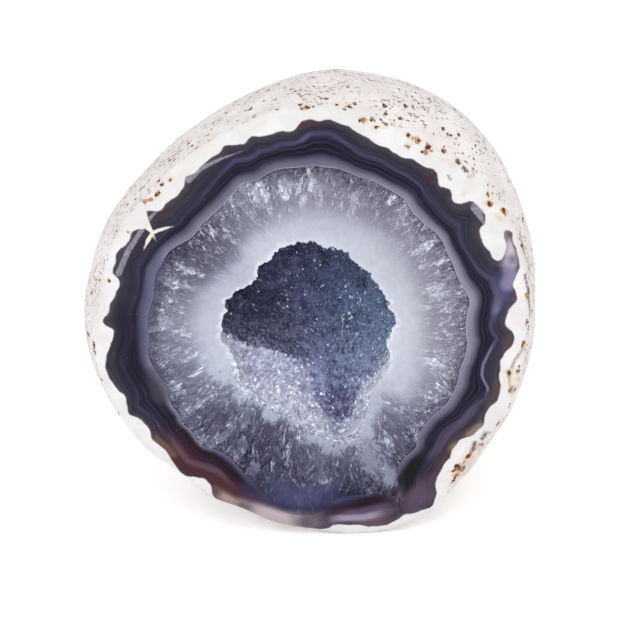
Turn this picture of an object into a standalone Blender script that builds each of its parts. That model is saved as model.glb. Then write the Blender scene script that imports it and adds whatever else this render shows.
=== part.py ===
"""Half of an agate nodule, cut and polished, with a hollow lined by quartz crystals.

It stands on a small flat ground into its underside, with the cut face forwards (-Y)
and leaning back a little. Sizes are in millimetres and become metres in to_row.
"""
import math

import bmesh
import bpy
import numpy as np
from mathutils import geometry

# Placing of the cut face
FACE_LEAN = math.radians(8.0)
FACE_CENTRE = (-0.7, -24.3, 55.5)

# Nodule
BODY_DEPTH = 55.0
WIDEST_DEPTH = 14.0
BACK_FULLNESS = 2.5
BACK_SHIFT = (2.5, 2.0)
EDGE_WIDTH = 2.2
EDGE_DROP = 2.0

# Radius of the cut face every 10 degrees, anticlockwise from the right
FACE_RADIUS = (
    51.6, 51.4, 51.9, 51.0, 50.2, 49.9, 48.9, 49.3, 50.0, 50.4, 50.3, 49.3,
    48.7, 48.8, 48.6, 50.2, 50.2, 49.7, 51.3, 52.3, 52.3, 51.8, 51.3, 50.2,
    51.4, 51.3, 53.1, 54.4, 56.6, 58.2, 57.9, 54.4, 52.7, 53.0, 52.1, 51.8,
)
# Radius of the nodule where it is widest, behind the face
WIDEST_RADIUS = (
    55.5, 55.9, 56.4, 57.2, 58.3, 58.6, 57.8, 56.3, 55.3, 53.9, 52.2, 50.9,
    50.0, 49.9, 50.0, 51.3, 52.8, 53.4, 54.4, 54.6, 54.2, 53.5, 53.0, 51.9,
    53.1, 53.0, 54.8, 56.1, 58.3, 59.9, 59.6, 59.8, 58.1, 57.6, 56.7, 56.1,
)

# Hollow
# Mouth of the crystal crust every 5 degrees
MOUTH_RADIUS = (
    19.1, 18.6, 18.4, 17.8, 17.1, 17.3, 16.9, 16.9, 16.8, 16.5, 16.5, 16.6,
    17.4, 17.5, 17.2, 17.2, 17.1, 17.7, 18.0, 17.7, 18.1, 18.1, 18.1, 18.3,
    17.7, 17.0, 17.3, 17.4, 16.8, 16.3, 16.3, 17.6, 18.9, 19.7, 21.1, 20.5,
    21.5, 21.4, 21.7, 22.0, 21.3, 21.0, 21.4, 22.1, 22.8, 23.4, 23.8, 24.1,
    24.2, 24.1, 24.2, 24.6, 25.5, 27.9, 29.1, 29.9, 31.3, 31.8, 31.2, 29.0,
    26.3, 24.6, 23.4, 22.9, 23.0, 22.6, 21.3, 19.8, 19.2, 19.3, 19.9, 19.7,
)
# Mouth of the hollow under the crust every 20 degrees
HOLLOW_RADIUS = (
    20.4, 18.6, 18.0, 18.6, 19.2, 19.5, 19.0, 18.4, 20.4, 22.8, 22.8, 24.0,
    25.5, 27.0, 32.0, 28.5, 24.3, 21.3,
)
# Width over which the wall turns into the floor every 30 degrees
WALL_WIDTH = (6.0, 5.5, 5.5, 5.5, 5.5, 5.0, 4.0, 3.2, 3.2, 5.0, 8.0, 8.0)
HOLLOW_CENTRE = (2.0, 2.0)
HOLLOW_RISE = 0.30
DEEP_FLOOR = 22.0
LOW_FLOOR = 6.5
LEDGE_FRONT = 2.4
LEDGE_BROW = 6.2
BROW_WIDTH = 4.5

# Crystal crust
CRUST_GAP = 0.3
CRUST_THICKNESS = 1.5
RIM_DROP = 0.25
CRYSTAL_SPACING = 2.4
CRYSTAL_SEED = 7

# Mesh fineness
AROUND = 72
HOLLOW_STEPS = 12
SKIN_DEPTHS = (3.6, 6.2, 9.6, 14.0)
BACK_STEPS = 11

# Larger pits of the skin: place in face coordinates (right, up, behind) and half width
PITS = (
    (42.4, 26.2, -0.1, 0.9), (41.8, 28.6, 0.3, 0.7), (45.9, 24.4, 0.9, 0.8),
    (36.3, 34.4, 0.2, 0.9), (35.0, 36.6, 0.4, 0.8), (31.4, 39.1, 0.4, 0.8),
    (27.9, 40.6, 0.1, 1.2), (26.9, 38.6, -0.2, 0.6), (25.3, 42.2, 0.3, 0.9),
    (23.0, 40.3, -0.2, 0.7), (22.8, 43.5, 0.4, 0.7), (18.7, 45.7, 0.4, 0.7),
    (16.6, 47.3, 0.7, 0.8), (12.8, 46.9, 0.0, 0.8), (9.8, 50.4, 1.5, 0.8),
    (6.3, 51.0, 1.6, 0.6), (-0.2, 50.4, 0.4, 0.8), (-12.4, 48.9, 1.6, 0.7),
    (-21.5, 46.0, 9.3, 0.6), (-32.9, 33.8, -0.1, 0.7), (-35.9, 33.8, 2.6, 0.8),
    (-36.0, 31.3, 0.0, 0.7), (-37.5, 29.6, -0.1, 0.8), (-39.4, 29.3, 1.0, 0.7),
    (-47.6, 10.1, 0.0, 0.7), (-52.6, -6.2, 2.1, 0.9), (34.9, -39.4, -0.2, 1.2),
    (35.2, -42.6, 0.9, 1.1), (38.3, -37.9, 0.4, 1.0), (40.9, -34.0, 0.7, 1.0),
    (38.0, -34.9, -0.1, 0.7), (47.8, -20.8, 0.2, 1.0), (47.3, -15.7, -0.2, 1.0),
    (50.3, -15.9, 1.0, 0.8), (51.0, -9.2, 0.4, 0.8), (51.7, 3.4, 0.6, 0.9),
    (50.0, 17.0, 1.2, 0.9), (39.3, -42.4, 5.2, 1.6), (23.0, 49.3, 5.4, 0.6),
    (32.9, 42.9, 3.7, 0.6),
)


def periodic(table, degrees):
    """Smooth closed curve through evenly spaced values."""
    values = np.asarray(table, float)
    count = len(values)
    at = np.asarray(degrees, float) % 360.0 / (360.0 / count)
    index = np.floor(at).astype(int)
    part = at - index
    before = values[(index - 1) % count]
    here = values[index % count]
    after = values[(index + 1) % count]
    beyond = values[(index + 2) % count]
    bend = 2 * before - 5 * here + 4 * after - beyond
    twist = 3 * (here - after) + beyond - before
    return here + 0.5 * part * (after - before + part * (bend + part * twist))


def ease(low, high, value):
    """Smooth step from 0 at low to 1 at high."""
    at = np.clip((value - low) / (high - low), 0.0, 1.0)
    return at * at * (3.0 - 2.0 * at)


def to_row(points):
    """Face coordinates (right, up the face, behind the face) to the object's own axes, in metres."""
    right, up, behind = np.moveaxis(np.asarray(points, float), -1, 0)
    x = FACE_CENTRE[0] + right
    y = FACE_CENTRE[1] + up * math.sin(FACE_LEAN) + behind * math.cos(FACE_LEAN)
    z = FACE_CENTRE[2] + up * math.cos(FACE_LEAN) - behind * math.sin(FACE_LEAN)
    return np.stack([x, y, z], axis=-1) * 0.001


def skin(degrees, behind):
    """Points of the nodule's skin at a direction and a depth behind the face."""
    degrees = np.asarray(degrees, float)
    face = periodic(FACE_RADIUS, degrees)
    widest = periodic(WIDEST_RADIUS, degrees)
    if behind <= WIDEST_DEPTH:
        radius = widest - (widest - face) * (1.0 - behind / WIDEST_DEPTH) ** 2
        back = 0.0
    else:
        back = min(1.0, (behind - WIDEST_DEPTH) / (BODY_DEPTH - WIDEST_DEPTH))
        radius = widest * (1.0 - back**BACK_FULLNESS) ** (1.0 / BACK_FULLNESS)
    lumps = np.sin(np.radians(3.0 * degrees + 40.0) + 0.09 * behind)
    lumps = lumps + 0.7 * np.sin(np.radians(5.0 * degrees - 70.0) - 0.13 * behind)
    radius = radius * (1.0 + 0.009 * lumps * ease(10.0, 30.0, behind))
    turn = np.radians(degrees)
    right = radius * np.cos(turn) + BACK_SHIFT[0] * back * back
    up = radius * np.sin(turn) + BACK_SHIFT[1] * back * back
    return np.stack([right, up, np.full_like(right, behind)], axis=-1)


def floor_depth(right, up, inset):
    """Depth of the hollow's floor, with the ledge at the lower left."""
    deep = LOW_FLOOR + (DEEP_FLOOR - LOW_FLOOR) * ease(-27.0, -7.0, up)
    deep = deep - 2.0 * ease(2.0, 16.0, right)
    ledge = LEDGE_FRONT + (LEDGE_BROW - LEDGE_FRONT) * ease(-24.0, -6.0, up)
    over = up + 5.3 + 0.31 * (right + 20.5)
    beside = right - 2.0
    past = 0.5 * (over + beside + np.sqrt((over - beside) ** 2 + 6.0))
    on_ledge = 1.0 - ease(-0.3 * BROW_WIDTH, 0.7 * BROW_WIDTH, past - inset)
    return deep + (ledge - deep) * on_ledge - inset


def hollow(degrees, inward, inset, ragged):
    """Points of the hollow's wall. inward is 0 at the mouth and 1 at the middle."""
    turn = np.radians(degrees)
    mouth = periodic(HOLLOW_RADIUS, degrees) - inset
    if ragged:
        rim = periodic(MOUTH_RADIUS, degrees)
        mouth = rim + (mouth - rim) * ease(0.0, 0.2, inward)
    radius = mouth * (1.0 - inward)
    right = radius * np.cos(turn) + inward * HOLLOW_CENTRE[0]
    up = radius * np.sin(turn) + inward * HOLLOW_CENTRE[1]
    near = np.clip(mouth * inward / periodic(WALL_WIDTH, degrees), 0.0, 1.0)
    fall = np.sqrt(np.maximum(0.0, 1.0 - (1.0 - near) ** 2))
    behind = fall * floor_depth(right, up, inset)
    return np.stack([right, up + HOLLOW_RISE * behind, behind], axis=-1)


def spread(inset, ragged, count=360, fine=400):
    """How far inward each even step along the wall lies, for every direction."""
    degrees = np.arange(count) * 360.0 / count
    inward = np.linspace(0.0, 1.0, fine + 1) ** 2
    grid = hollow(degrees[:, None], inward[None, :], inset, ragged)
    length = np.linalg.norm(np.diff(grid, axis=1), axis=2)
    travelled = np.concatenate([np.zeros((count, 1)), np.cumsum(length, axis=1)], axis=1)
    travelled = travelled / travelled[:, -1:]
    even = np.linspace(0.0, 1.0, 201)
    return np.array([np.interp(even, row, inward) for row in travelled])


def hollow_even(table, degrees, step, inset, ragged):
    """Points of the wall by even steps, 0 at the mouth and 1 at the middle."""
    count = len(table)
    at = np.asarray(degrees, float) % 360.0 / (360.0 / count)
    low = np.floor(at).astype(int) % count
    part = at - np.floor(at)
    along = np.clip(np.asarray(step, float), 0.0, 1.0) * 200.0
    first = np.minimum(np.floor(along).astype(int), 199)
    rest = along - first
    high = (low + 1) % count
    near = table[low, first] * (1.0 - rest) + table[low, first + 1] * rest
    far = table[high, first] * (1.0 - rest) + table[high, first + 1] * rest
    return hollow(degrees, near * (1.0 - part) + far * part, inset, ragged)


def add_ring(mesh, points):
    return [mesh.verts.new(point) for point in to_row(points)]


def bridge(mesh, outer, inner):
    """Quads between two rings of the same count."""
    count = len(outer)
    for index in range(count):
        after = (index + 1) % count
        mesh.faces.new((outer[index], outer[after], inner[after], inner[index]))


def fan(mesh, ring, tip):
    count = len(ring)
    for index in range(count):
        mesh.faces.new((ring[index], ring[(index + 1) % count], tip))


def make_object(name, mesh, material):
    data = bpy.data.meshes.new(name)
    bmesh.ops.recalc_face_normals(mesh, faces=mesh.faces)
    mesh.to_mesh(data)
    mesh.free()
    data.materials.append(material)
    made = bpy.data.objects.new(name, data)
    bpy.context.scene.collection.objects.link(made)
    return made


def make_material(name, colour, roughness):
    made = bpy.data.materials.new(name)
    made.use_nodes = True
    shader = made.node_tree.nodes["Principled BSDF"]
    shader.inputs["Base Color"].default_value = (*colour, 1.0)
    shader.inputs["Roughness"].default_value = roughness
    shader.inputs["Metallic"].default_value = 0.0
    made.diffuse_color = (*colour, 1.0)
    return made


def edge_rings(degrees):
    """The polished edge of the face, rounded over into the skin."""
    face = periodic(FACE_RADIUS, degrees)
    turn = np.radians(degrees)
    below = skin(degrees, EDGE_DROP)
    outer = np.hypot(below[:, 0], below[:, 1])
    rings = []
    for part in (0.0, 0.3, 0.6, 1.0):
        rest = 1.0 - part
        radius = rest * rest * (face - EDGE_WIDTH) + 2.0 * part * rest * face + part * part * outer
        behind = np.full_like(radius, part * part * EDGE_DROP)
        rings.append(np.stack([radius * np.cos(turn), radius * np.sin(turn), behind], axis=-1))
    return rings


def build_body(material):
    degrees = np.arange(AROUND) * 360.0 / AROUND
    mesh = bmesh.new()

    # Wall of the hollow, from its middle out to the mouth
    table = spread(0.0, False)
    middle = hollow(np.array([0.0]), np.array([1.0]), 0.0, False)
    rings = []
    for index in range(HOLLOW_STEPS):
        step = np.full(AROUND, index / HOLLOW_STEPS)
        rings.append(add_ring(mesh, hollow_even(table, degrees, step, 0.0, False)))
    fan(mesh, rings[-1], mesh.verts.new(to_row(middle[0])))
    for outer, inner in zip(rings[:-1], rings[1:]):
        bridge(mesh, outer, inner)

    # Cut face and its rounded edge
    mouth = hollow(degrees, np.zeros(AROUND), 0.0, False)
    edges = edge_rings(degrees)
    chain = [rings[0], add_ring(mesh, 0.5 * (mouth + edges[0]))]
    chain += [add_ring(mesh, points) for points in edges]

    # Skin, round to the back
    chain += [add_ring(mesh, skin(degrees, depth)) for depth in SKIN_DEPTHS]
    for index in range(1, BACK_STEPS):
        turn = math.pi / 2 * index / BACK_STEPS
        depth = WIDEST_DEPTH + (BODY_DEPTH - WIDEST_DEPTH) * math.sin(turn)
        chain.append(add_ring(mesh, skin(degrees, depth)))
    for inner, outer in zip(chain[:-1], chain[1:]):
        bridge(mesh, outer, inner)
    tip = mesh.verts.new(to_row([BACK_SHIFT[0], BACK_SHIFT[1], BODY_DEPTH]))
    fan(mesh, chain[-1], tip)

    # Flat ground into the underside
    found = bmesh.ops.bisect_plane(
        mesh,
        geom=mesh.verts[:] + mesh.edges[:] + mesh.faces[:],
        dist=1e-7,
        plane_co=(0.0, 0.0, 0.0),
        plane_no=(0.0, 0.0, -1.0),
        clear_outer=True,
    )
    cut = [item for item in found["geom_cut"] if isinstance(item, bmesh.types.BMEdge)]
    bmesh.ops.contextual_create(mesh, geom=cut)
    body = make_object("geode_body", mesh, material)
    body.data.shade_smooth()
    body.data.set_sharp_from_angle(angle=math.radians(35.0))
    return body


def build_pits(body):
    """Pushes the larger pits of the skin into the body."""
    mesh = bmesh.new()
    for right, up, behind, half in PITS:
        found = bmesh.ops.create_icosphere(mesh, subdivisions=1, radius=half * 0.001)
        place = to_row([right, up, behind])
        for vert in found["verts"]:
            vert.co = [vert.co[axis] + place[axis] for axis in range(3)]
    cutter = make_object("pit_cutters", mesh, body.data.materials[0])
    cutter.hide_render = True
    cut = body.modifiers.new("pits", "BOOLEAN")
    cut.operation = "DIFFERENCE"
    cut.solver = "EXACT"
    cut.object = cutter


def sow(table, spacing, inset, seed):
    """Evenly scattered places on the crust, as (direction, step) pairs."""
    rng = np.random.default_rng(seed)
    around = np.arange(0.0, 360.0, 3.0)
    steps = np.linspace(0.0, 1.0, 61)
    grid = hollow_even(table, around[:, None], steps[None, :], inset, True)
    side = np.linalg.norm(np.roll(grid, -1, axis=0) - grid, axis=2)[:, :-1]
    down = np.linalg.norm(np.diff(grid, axis=1), axis=2)
    share = np.cumsum((side * down).ravel())
    share = share / share[-1]
    taken = {}
    places = []
    for draw in rng.random((14000, 3)):
        cell = int(np.searchsorted(share, draw[0]))
        row, column = divmod(cell, len(steps) - 1)
        direction = around[row] + 3.0 * draw[1]
        step = steps[column] + draw[2] / 60.0
        if step < 0.035:
            continue
        point = hollow_even(table, np.array([direction]), np.array([step]), inset, True)[0]
        key = tuple(np.floor(point / spacing).astype(int))
        nearby = [
            other
            for dx in (-1, 0, 1)
            for dy in (-1, 0, 1)
            for dz in (-1, 0, 1)
            for other in taken.get((key[0] + dx, key[1] + dy, key[2] + dz), ())
        ]
        if all(np.linalg.norm(point - other) > spacing for other in nearby):
            taken.setdefault(key, []).append(point)
            places.append((direction % 360.0, step))
    return places


def disc(direction, step):
    """Flat map of the crust: its middle at the origin, its rim on the unit circle."""
    radius = np.expm1(1.4 * (1.0 - np.asarray(step, float))) / math.expm1(1.4)
    turn = np.radians(direction)
    return np.stack([radius * np.cos(turn), radius * np.sin(turn)], axis=-1)


def undisc(point):
    radius = min(1.0, math.hypot(point[0], point[1]))
    step = 1.0 - math.log1p(radius * math.expm1(1.4)) / 1.4
    return math.degrees(math.atan2(point[1], point[0])) % 360.0, step


def crust_point(table, direction, step, lift, sway):
    """Point on or over the crust. sway leans it sideways."""
    inset = CRUST_THICKNESS
    step = min(max(step, 0.0), 0.995)
    around = np.array([direction, direction + 0.8, direction, direction])
    steps = np.array([step, step, min(step + 0.004, 0.999), step])
    at, aside, ahead, _ = hollow_even(table, around, steps, inset, True)
    one = (aside - at) / max(np.linalg.norm(aside - at), 1e-9)
    two = (ahead - at) / max(np.linalg.norm(ahead - at), 1e-9)
    out = np.cross(two, one)
    out = out / max(np.linalg.norm(out), 1e-9)
    if out @ (np.array([HOLLOW_CENTRE[0], HOLLOW_CENTRE[1], 0.0]) - at) < 0.0:
        out = -out
    return at + lift * (out + sway[0] * one + sway[1] * two)


def build_crust(material):
    degrees = np.arange(AROUND) * 360.0 / AROUND
    mesh = bmesh.new()

    # Back of the crust, beside the wall of the hollow
    table = spread(CRUST_GAP, False)
    middle = hollow(np.array([0.0]), np.array([1.0]), CRUST_GAP, False)
    rings = []
    for index in range(HOLLOW_STEPS):
        step = np.full(AROUND, index / HOLLOW_STEPS)
        points = hollow_even(table, degrees, step, CRUST_GAP, False)
        points[:, 2] = np.maximum(points[:, 2], RIM_DROP)
        rings.append(add_ring(mesh, points))
    fan(mesh, rings[-1], mesh.verts.new(to_row(middle[0])))
    for outer, inner in zip(rings[:-1], rings[1:]):
        bridge(mesh, outer, inner)

    # Rim, between the wall and the first crystals
    rim_points = hollow(degrees, np.zeros(AROUND), CRUST_THICKNESS, True)
    rim_points[:, 2] = RIM_DROP
    rim = add_ring(mesh, rim_points)
    bridge(mesh, rings[0], rim)

    # Crystals: a pyramid on each place, meeting its neighbours in valleys
    table = spread(CRUST_THICKNESS, True)
    places = sow(table, CRYSTAL_SPACING, CRUST_THICKNESS, CRYSTAL_SEED)
    flat = [tuple(point) for point in disc(degrees, np.zeros(AROUND))]
    flat += [tuple(disc(direction, step)) for direction, step in places]
    border = [(index, (index + 1) % AROUND) for index in range(AROUND)]
    corners, _, triangles, origin, _, _ = geometry.delaunay_2d_cdt(flat, border, [], 1, 1e-9)
    origin = [given[0] for given in origin]
    triangles = [tuple(origin[corner] for corner in triangle) for triangle in triangles]

    rng = np.random.default_rng(CRYSTAL_SEED + 1)
    valleys = []
    for triangle in triangles:
        centre = np.mean([flat[corner] for corner in triangle], axis=0)
        direction, step = undisc(centre)
        point = crust_point(table, direction, step, 0.0, (0.0, 0.0))
        valleys.append(mesh.verts.new(to_row(point)))
    around_place = {}
    for number, triangle in enumerate(triangles):
        for corner in triangle:
            around_place.setdefault(corner, []).append(number)
    middles = [np.mean([flat[corner] for corner in triangle], axis=0) for triangle in triangles]
    for corner, numbers in around_place.items():
        here = np.array(flat[corner])
        if corner < AROUND:
            inward = -here
            side = np.array([-inward[1], inward[0]])
            numbers.sort(key=lambda n: math.atan2((middles[n] - here) @ side, (middles[n] - here) @ inward))
            for first, second in zip(numbers[:-1], numbers[1:]):
                mesh.faces.new((rim[corner], valleys[first], valleys[second]))
            continue
        numbers.sort(key=lambda n: math.atan2(middles[n][1] - here[1], middles[n][0] - here[0]))
        direction, step = places[corner - AROUND]
        height = CRYSTAL_SPACING * rng.uniform(0.28, 0.46)
        sway = rng.uniform(-0.35, 0.35, 2)
        tip = mesh.verts.new(to_row(crust_point(table, direction, step, height, sway)))
        for first, second in zip(numbers, numbers[1:] + numbers[:1]):
            mesh.faces.new((valleys[first], valleys[second], tip))
    for number, triangle in enumerate(triangles):
        edge = [corner for corner in triangle if corner < AROUND]
        if len(edge) == 2:
            mesh.faces.new((rim[edge[0]], rim[edge[1]], valleys[number]))
    return make_object("crystal_crust", mesh, material)


def main():
    for old in list(bpy.data.objects):
        bpy.data.objects.remove(old, do_unlink=True)
    rind = make_material("rind", (0.80, 0.78, 0.79), 0.45)
    quartz = make_material("quartz", (0.33, 0.36, 0.47), 0.15)
    body = build_body(rind)
    build_pits(body)
    build_crust(quartz)


main()
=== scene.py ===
"""Looks of the polished agate geode half.

The cut face shows banded agate and quartz inside a white rind, the outside is porous, and
small crystals line the hollow. Lengths are in millimetres in face coordinates (right, up
the face, behind the face) and become metres in to_row.
"""
import math

import bpy
import numpy as np
from mathutils import Matrix, Vector, geometry, kdtree


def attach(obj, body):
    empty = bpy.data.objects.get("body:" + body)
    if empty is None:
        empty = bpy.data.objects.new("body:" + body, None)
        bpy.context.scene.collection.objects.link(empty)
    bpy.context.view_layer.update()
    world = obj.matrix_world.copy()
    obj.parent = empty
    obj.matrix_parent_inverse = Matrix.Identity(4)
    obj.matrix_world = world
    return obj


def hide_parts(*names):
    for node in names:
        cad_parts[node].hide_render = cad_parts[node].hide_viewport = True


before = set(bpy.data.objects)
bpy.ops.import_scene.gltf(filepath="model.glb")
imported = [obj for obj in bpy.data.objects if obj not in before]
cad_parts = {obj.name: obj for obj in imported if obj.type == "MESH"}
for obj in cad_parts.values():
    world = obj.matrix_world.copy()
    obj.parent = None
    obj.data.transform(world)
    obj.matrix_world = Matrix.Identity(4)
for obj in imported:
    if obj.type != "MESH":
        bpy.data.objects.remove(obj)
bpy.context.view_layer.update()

# Placing of the cut face
FACE_LEAN = math.radians(8.0)
FACE_CENTRE = (-0.7, -24.3, 55.5)
FACE_PLANE = 0.05

# Nodule
BODY_DEPTH = 55.0
WIDEST_DEPTH = 14.0
BACK_FULLNESS = 2.5
BACK_SHIFT = (2.5, 2.0)
EDGE_WIDTH = 2.2
EDGE_DROP = 2.0
SEAM_DEPTH = 3.6

# Radius of the cut face every 10 degrees, anticlockwise from the right
FACE_RADIUS = (
    51.6, 51.4, 51.9, 51.0, 50.2, 49.9, 48.9, 49.3, 50.0, 50.4, 50.3, 49.3,
    48.7, 48.8, 48.6, 50.2, 50.2, 49.7, 51.3, 52.3, 52.3, 51.8, 51.3, 50.2,
    51.4, 51.3, 53.1, 54.4, 56.6, 58.2, 57.9, 54.4, 52.7, 53.0, 52.1, 51.8,
)
# Radius of the nodule where it is widest, behind the face
WIDEST_RADIUS = (
    55.5, 55.9, 56.4, 57.2, 58.3, 58.6, 57.8, 56.3, 55.3, 53.9, 52.2, 50.9,
    50.0, 49.9, 50.0, 51.3, 52.8, 53.4, 54.4, 54.6, 54.2, 53.5, 53.0, 51.9,
    53.1, 53.0, 54.8, 56.1, 58.3, 59.9, 59.6, 59.8, 58.1, 57.6, 56.7, 56.1,
)

# Mouth of the hollow every 5 degrees
MOUTH_RADIUS = (
    19.1, 18.6, 18.4, 17.8, 17.1, 17.3, 16.9, 16.9, 16.8, 16.5, 16.5, 16.6,
    17.4, 17.5, 17.2, 17.2, 17.1, 17.7, 18.0, 17.7, 18.1, 18.1, 18.1, 18.3,
    17.7, 17.0, 17.3, 17.4, 16.8, 16.3, 16.3, 17.6, 18.9, 19.7, 21.1, 20.5,
    21.5, 21.4, 21.7, 22.0, 21.3, 21.0, 21.4, 22.1, 22.8, 23.4, 23.8, 24.1,
    24.2, 24.1, 24.2, 24.6, 25.5, 27.9, 29.1, 29.9, 31.3, 31.8, 31.2, 29.0,
    26.3, 24.6, 23.4, 22.9, 23.0, 22.6, 21.3, 19.8, 19.2, 19.3, 19.9, 19.7,
)
# The same under the crust every 20 degrees
HOLLOW_RADIUS = (
    20.4, 18.6, 18.0, 18.6, 19.2, 19.5, 19.0, 18.4, 20.4, 22.8, 22.8, 24.0,
    25.5, 27.0, 32.0, 28.5, 24.3, 21.3,
)
# Width over which the wall turns into the floor every 30 degrees
WALL_WIDTH = (6.0, 5.5, 5.5, 5.5, 5.5, 5.0, 4.0, 3.2, 3.2, 5.0, 8.0, 8.0)
HOLLOW_CENTRE = (2.0, 2.0)
HOLLOW_RISE = 0.30
DEEP_FLOOR = 22.0
LOW_FLOOR = 6.5
LEDGE_FRONT = 2.4
LEDGE_BROW = 6.2
CRUST_GAP = 0.3
CRUST_THICKNESS = 1.5
RIM_DROP = 0.25
# How much higher in the photo a place behind the face shows, for each millimetre
SEEN_RISE = 0.3

# Outer edge of the agate, where the white rind begins, every 2.5 degrees
RIND_EDGE = (
    46.7, 48.8, 48.7, 48.0, 49.5, 50.8, 51.0, 51.1, 51.1, 51.2, 44.9, 46.4,
    47.2, 47.4, 46.6, 43.7, 43.5, 44.8, 43.5, 44.2, 44.9, 44.5, 44.4, 44.2,
    43.8, 43.9, 44.2, 44.4, 44.2, 44.6, 45.4, 46.1, 46.9, 47.3, 47.6, 47.5,
    47.5, 46.8, 45.2, 45.3, 45.6, 45.2, 45.8, 45.9, 44.9, 45.5, 46.1, 45.4,
    45.2, 45.1, 44.8, 44.5, 45.1, 43.8, 43.7, 43.8, 44.0, 44.2, 46.5, 45.6,
    44.9, 46.9, 47.0, 47.4, 48.6, 48.5, 48.3, 46.5, 46.7, 47.0, 47.6, 48.3,
    49.4, 47.0, 47.4, 48.6, 49.5, 50.6, 50.1, 49.7, 49.2, 48.5, 49.1, 49.7,
    48.1, 47.7, 47.8, 48.4, 48.5, 48.1, 48.6, 49.6, 51.0, 50.5, 48.6, 48.2,
    49.3, 52.5, 53.1, 53.3, 53.4, 53.5, 53.6, 53.9, 54.2, 54.5, 54.7, 54.9,
    54.8, 54.6, 53.3, 53.6, 54.1, 55.0, 55.7, 56.5, 56.4, 55.6, 56.1, 56.6,
    57.4, 55.6, 51.8, 50.5, 49.8, 49.3, 48.5, 47.9, 49.0, 49.8, 50.2, 49.0,
    49.3, 49.7, 49.6, 49.0, 47.5, 47.3, 47.3, 47.6, 48.5, 48.7, 46.7, 46.4,
)
# Inner edge of the agate, where the quartz begins, every 3 degrees
AGATE_EDGE = (
    37.1, 37.6, 37.3, 36.5, 35.9, 35.6, 35.5, 35.4, 35.3, 35.4, 35.5, 35.3,
    34.9, 34.4, 34.3, 34.3, 34.7, 35.4, 35.5, 35.5, 35.4, 35.5, 35.6, 35.5,
    35.4, 35.7, 36.0, 36.2, 36.2, 36.4, 36.5, 36.3, 36.3, 36.5, 36.6, 36.4,
    35.9, 35.7, 36.1, 36.2, 35.4, 34.9, 34.5, 34.3, 34.3, 34.3, 34.5, 34.3,
    34.4, 35.1, 36.2, 37.3, 37.7, 37.9, 38.3, 38.3, 38.0, 37.9, 38.2, 38.7,
    38.9, 38.8, 38.8, 39.3, 39.9, 39.8, 39.4, 39.0, 38.8, 39.0, 39.6, 39.8,
    39.8, 40.6, 40.4, 40.5, 41.2, 41.2, 40.4, 40.1, 40.3, 41.0, 42.0, 43.0,
    44.2, 45.8, 48.0, 49.7, 50.3, 50.4, 50.1, 48.8, 47.0, 46.4, 46.6, 47.2,
    48.0, 49.3, 49.9, 44.6, 42.8, 42.3, 42.0, 40.0, 39.2, 38.8, 38.7, 39.1,
    39.5, 39.5, 39.3, 39.0, 38.5, 38.1, 38.2, 38.1, 37.9, 37.2, 36.9, 36.8,
)
# Edge between milky and grey quartz every 5 degrees
MILK_EDGE = (
    25.5, 25.1, 24.8, 24.7, 24.5, 24.5, 24.6, 24.7, 24.7, 25.0, 25.3, 25.2,
    25.0, 24.9, 24.7, 24.5, 24.4, 24.3, 24.4, 24.1, 24.0, 24.0, 23.9, 23.9,
    23.8, 24.0, 23.8, 23.2, 22.8, 22.9, 23.3, 24.3, 25.3, 26.3, 26.8, 27.4,
    27.8, 28.0, 28.1, 28.2, 28.5, 28.6, 29.1, 26.9, 26.0, 26.7, 27.1, 26.2,
    26.1, 26.8, 27.1, 27.3, 28.5, 30.5, 32.3, 33.8, 34.7, 34.8, 35.3, 33.4,
    30.4, 29.1, 27.5, 30.5, 30.6, 29.4, 28.6, 27.5, 26.9, 26.4, 26.1, 25.9,
)

# Brightness of the quartz every 30 degrees, of 255: milky, grey and beside the agate
MILK_TONE = (200, 191, 190, 194, 199, 186, 191, 193, 186, 173, 184, 200)
GREY_TONE = (165, 163, 149, 164, 150, 118, 157, 139, 102, 108, 116, 168)
EDGE_TONE = (123, 116, 116, 92, 136, 77, 95, 94, 90, 38, 88, 107)
# How purple and needly the quartz is, and how white the lip of the hollow is, every 30 degrees
QUARTZ_SHADE = (0.0, 0.05, 0.1, 0.15, 0.3, 0.4, 0.35, 0.8, 1.0, 1.0, 0.7, 0.2)
LIP_WHITE = (0.8, 0.3, 0.4, 0.4, 0.8, 1.0, 0.9, 0.4, 0.0, 0.0, 0.1, 0.6)

# Marks on the cut face, as strokes of (right, up, half width) from point to point
WHITE_PATCH = ((44.2, 14.0, 1.5), (43.8, 16.3, 2.3), (42.8, 19.0, 2.9))
WHITE_MARKS = (
    ((-32.2, 22.8, 0.1), (-34.0, 22.5, 0.36), (-35.4, 22.1, 0.46), (-37.3, 21.4, 0.5)),
    ((-37.3, 21.3, 0.4), (-38.2, 19.8, 0.55), (-39.4, 17.4, 0.15)),
    ((-37.3, 21.6, 0.4), (-39.6, 24.8, 1.5)),
    ((-37.2, 21.2, 0.35), (-36.5, 19.5, 0.12)),
)
GREY_MARKS = (
    ((-35.3, 27.4, 0.2), (-37.9, 24.8, 0.5), (-39.6, 22.3, 0.55), (-43.1, 17.0, 0.7), (-45.4, 11.8, 0.75)),
    ((-14.5, 40.9, 0.05), (-20.8, 38.8, 0.35), (-25.7, 36.5, 0.6), (-28.1, 33.9, 0.5)),
    ((-26.8, 35.7, 0.5), (-28.5, 34.0, 0.9)),
    ((40.8, 21.6, 0.3), (39.7, 23.9, 0.9), (38.8, 25.5, 1.2)),
)
# Thickness of the lavender layer every 15 degrees
LAVENDER_LAYER = (
    3.5, 3.5, 2.9, 2.6, 2.1, 2.3, 2.8, 2.6, 2.6, 2.8, 3.0, 2.8,
    3.0, 2.5, 1.4, 1.2, 1.4, 1.5, 1.3, 1.0, 2.3, 2.4, 2.7, 3.1,
)
# Its brightness beside the quartz every 30 degrees, of 255
LAVENDER_TONE = (145, 142, 131, 113, 119, 127, 125, 125, 98, 30, 102, 128)
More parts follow.
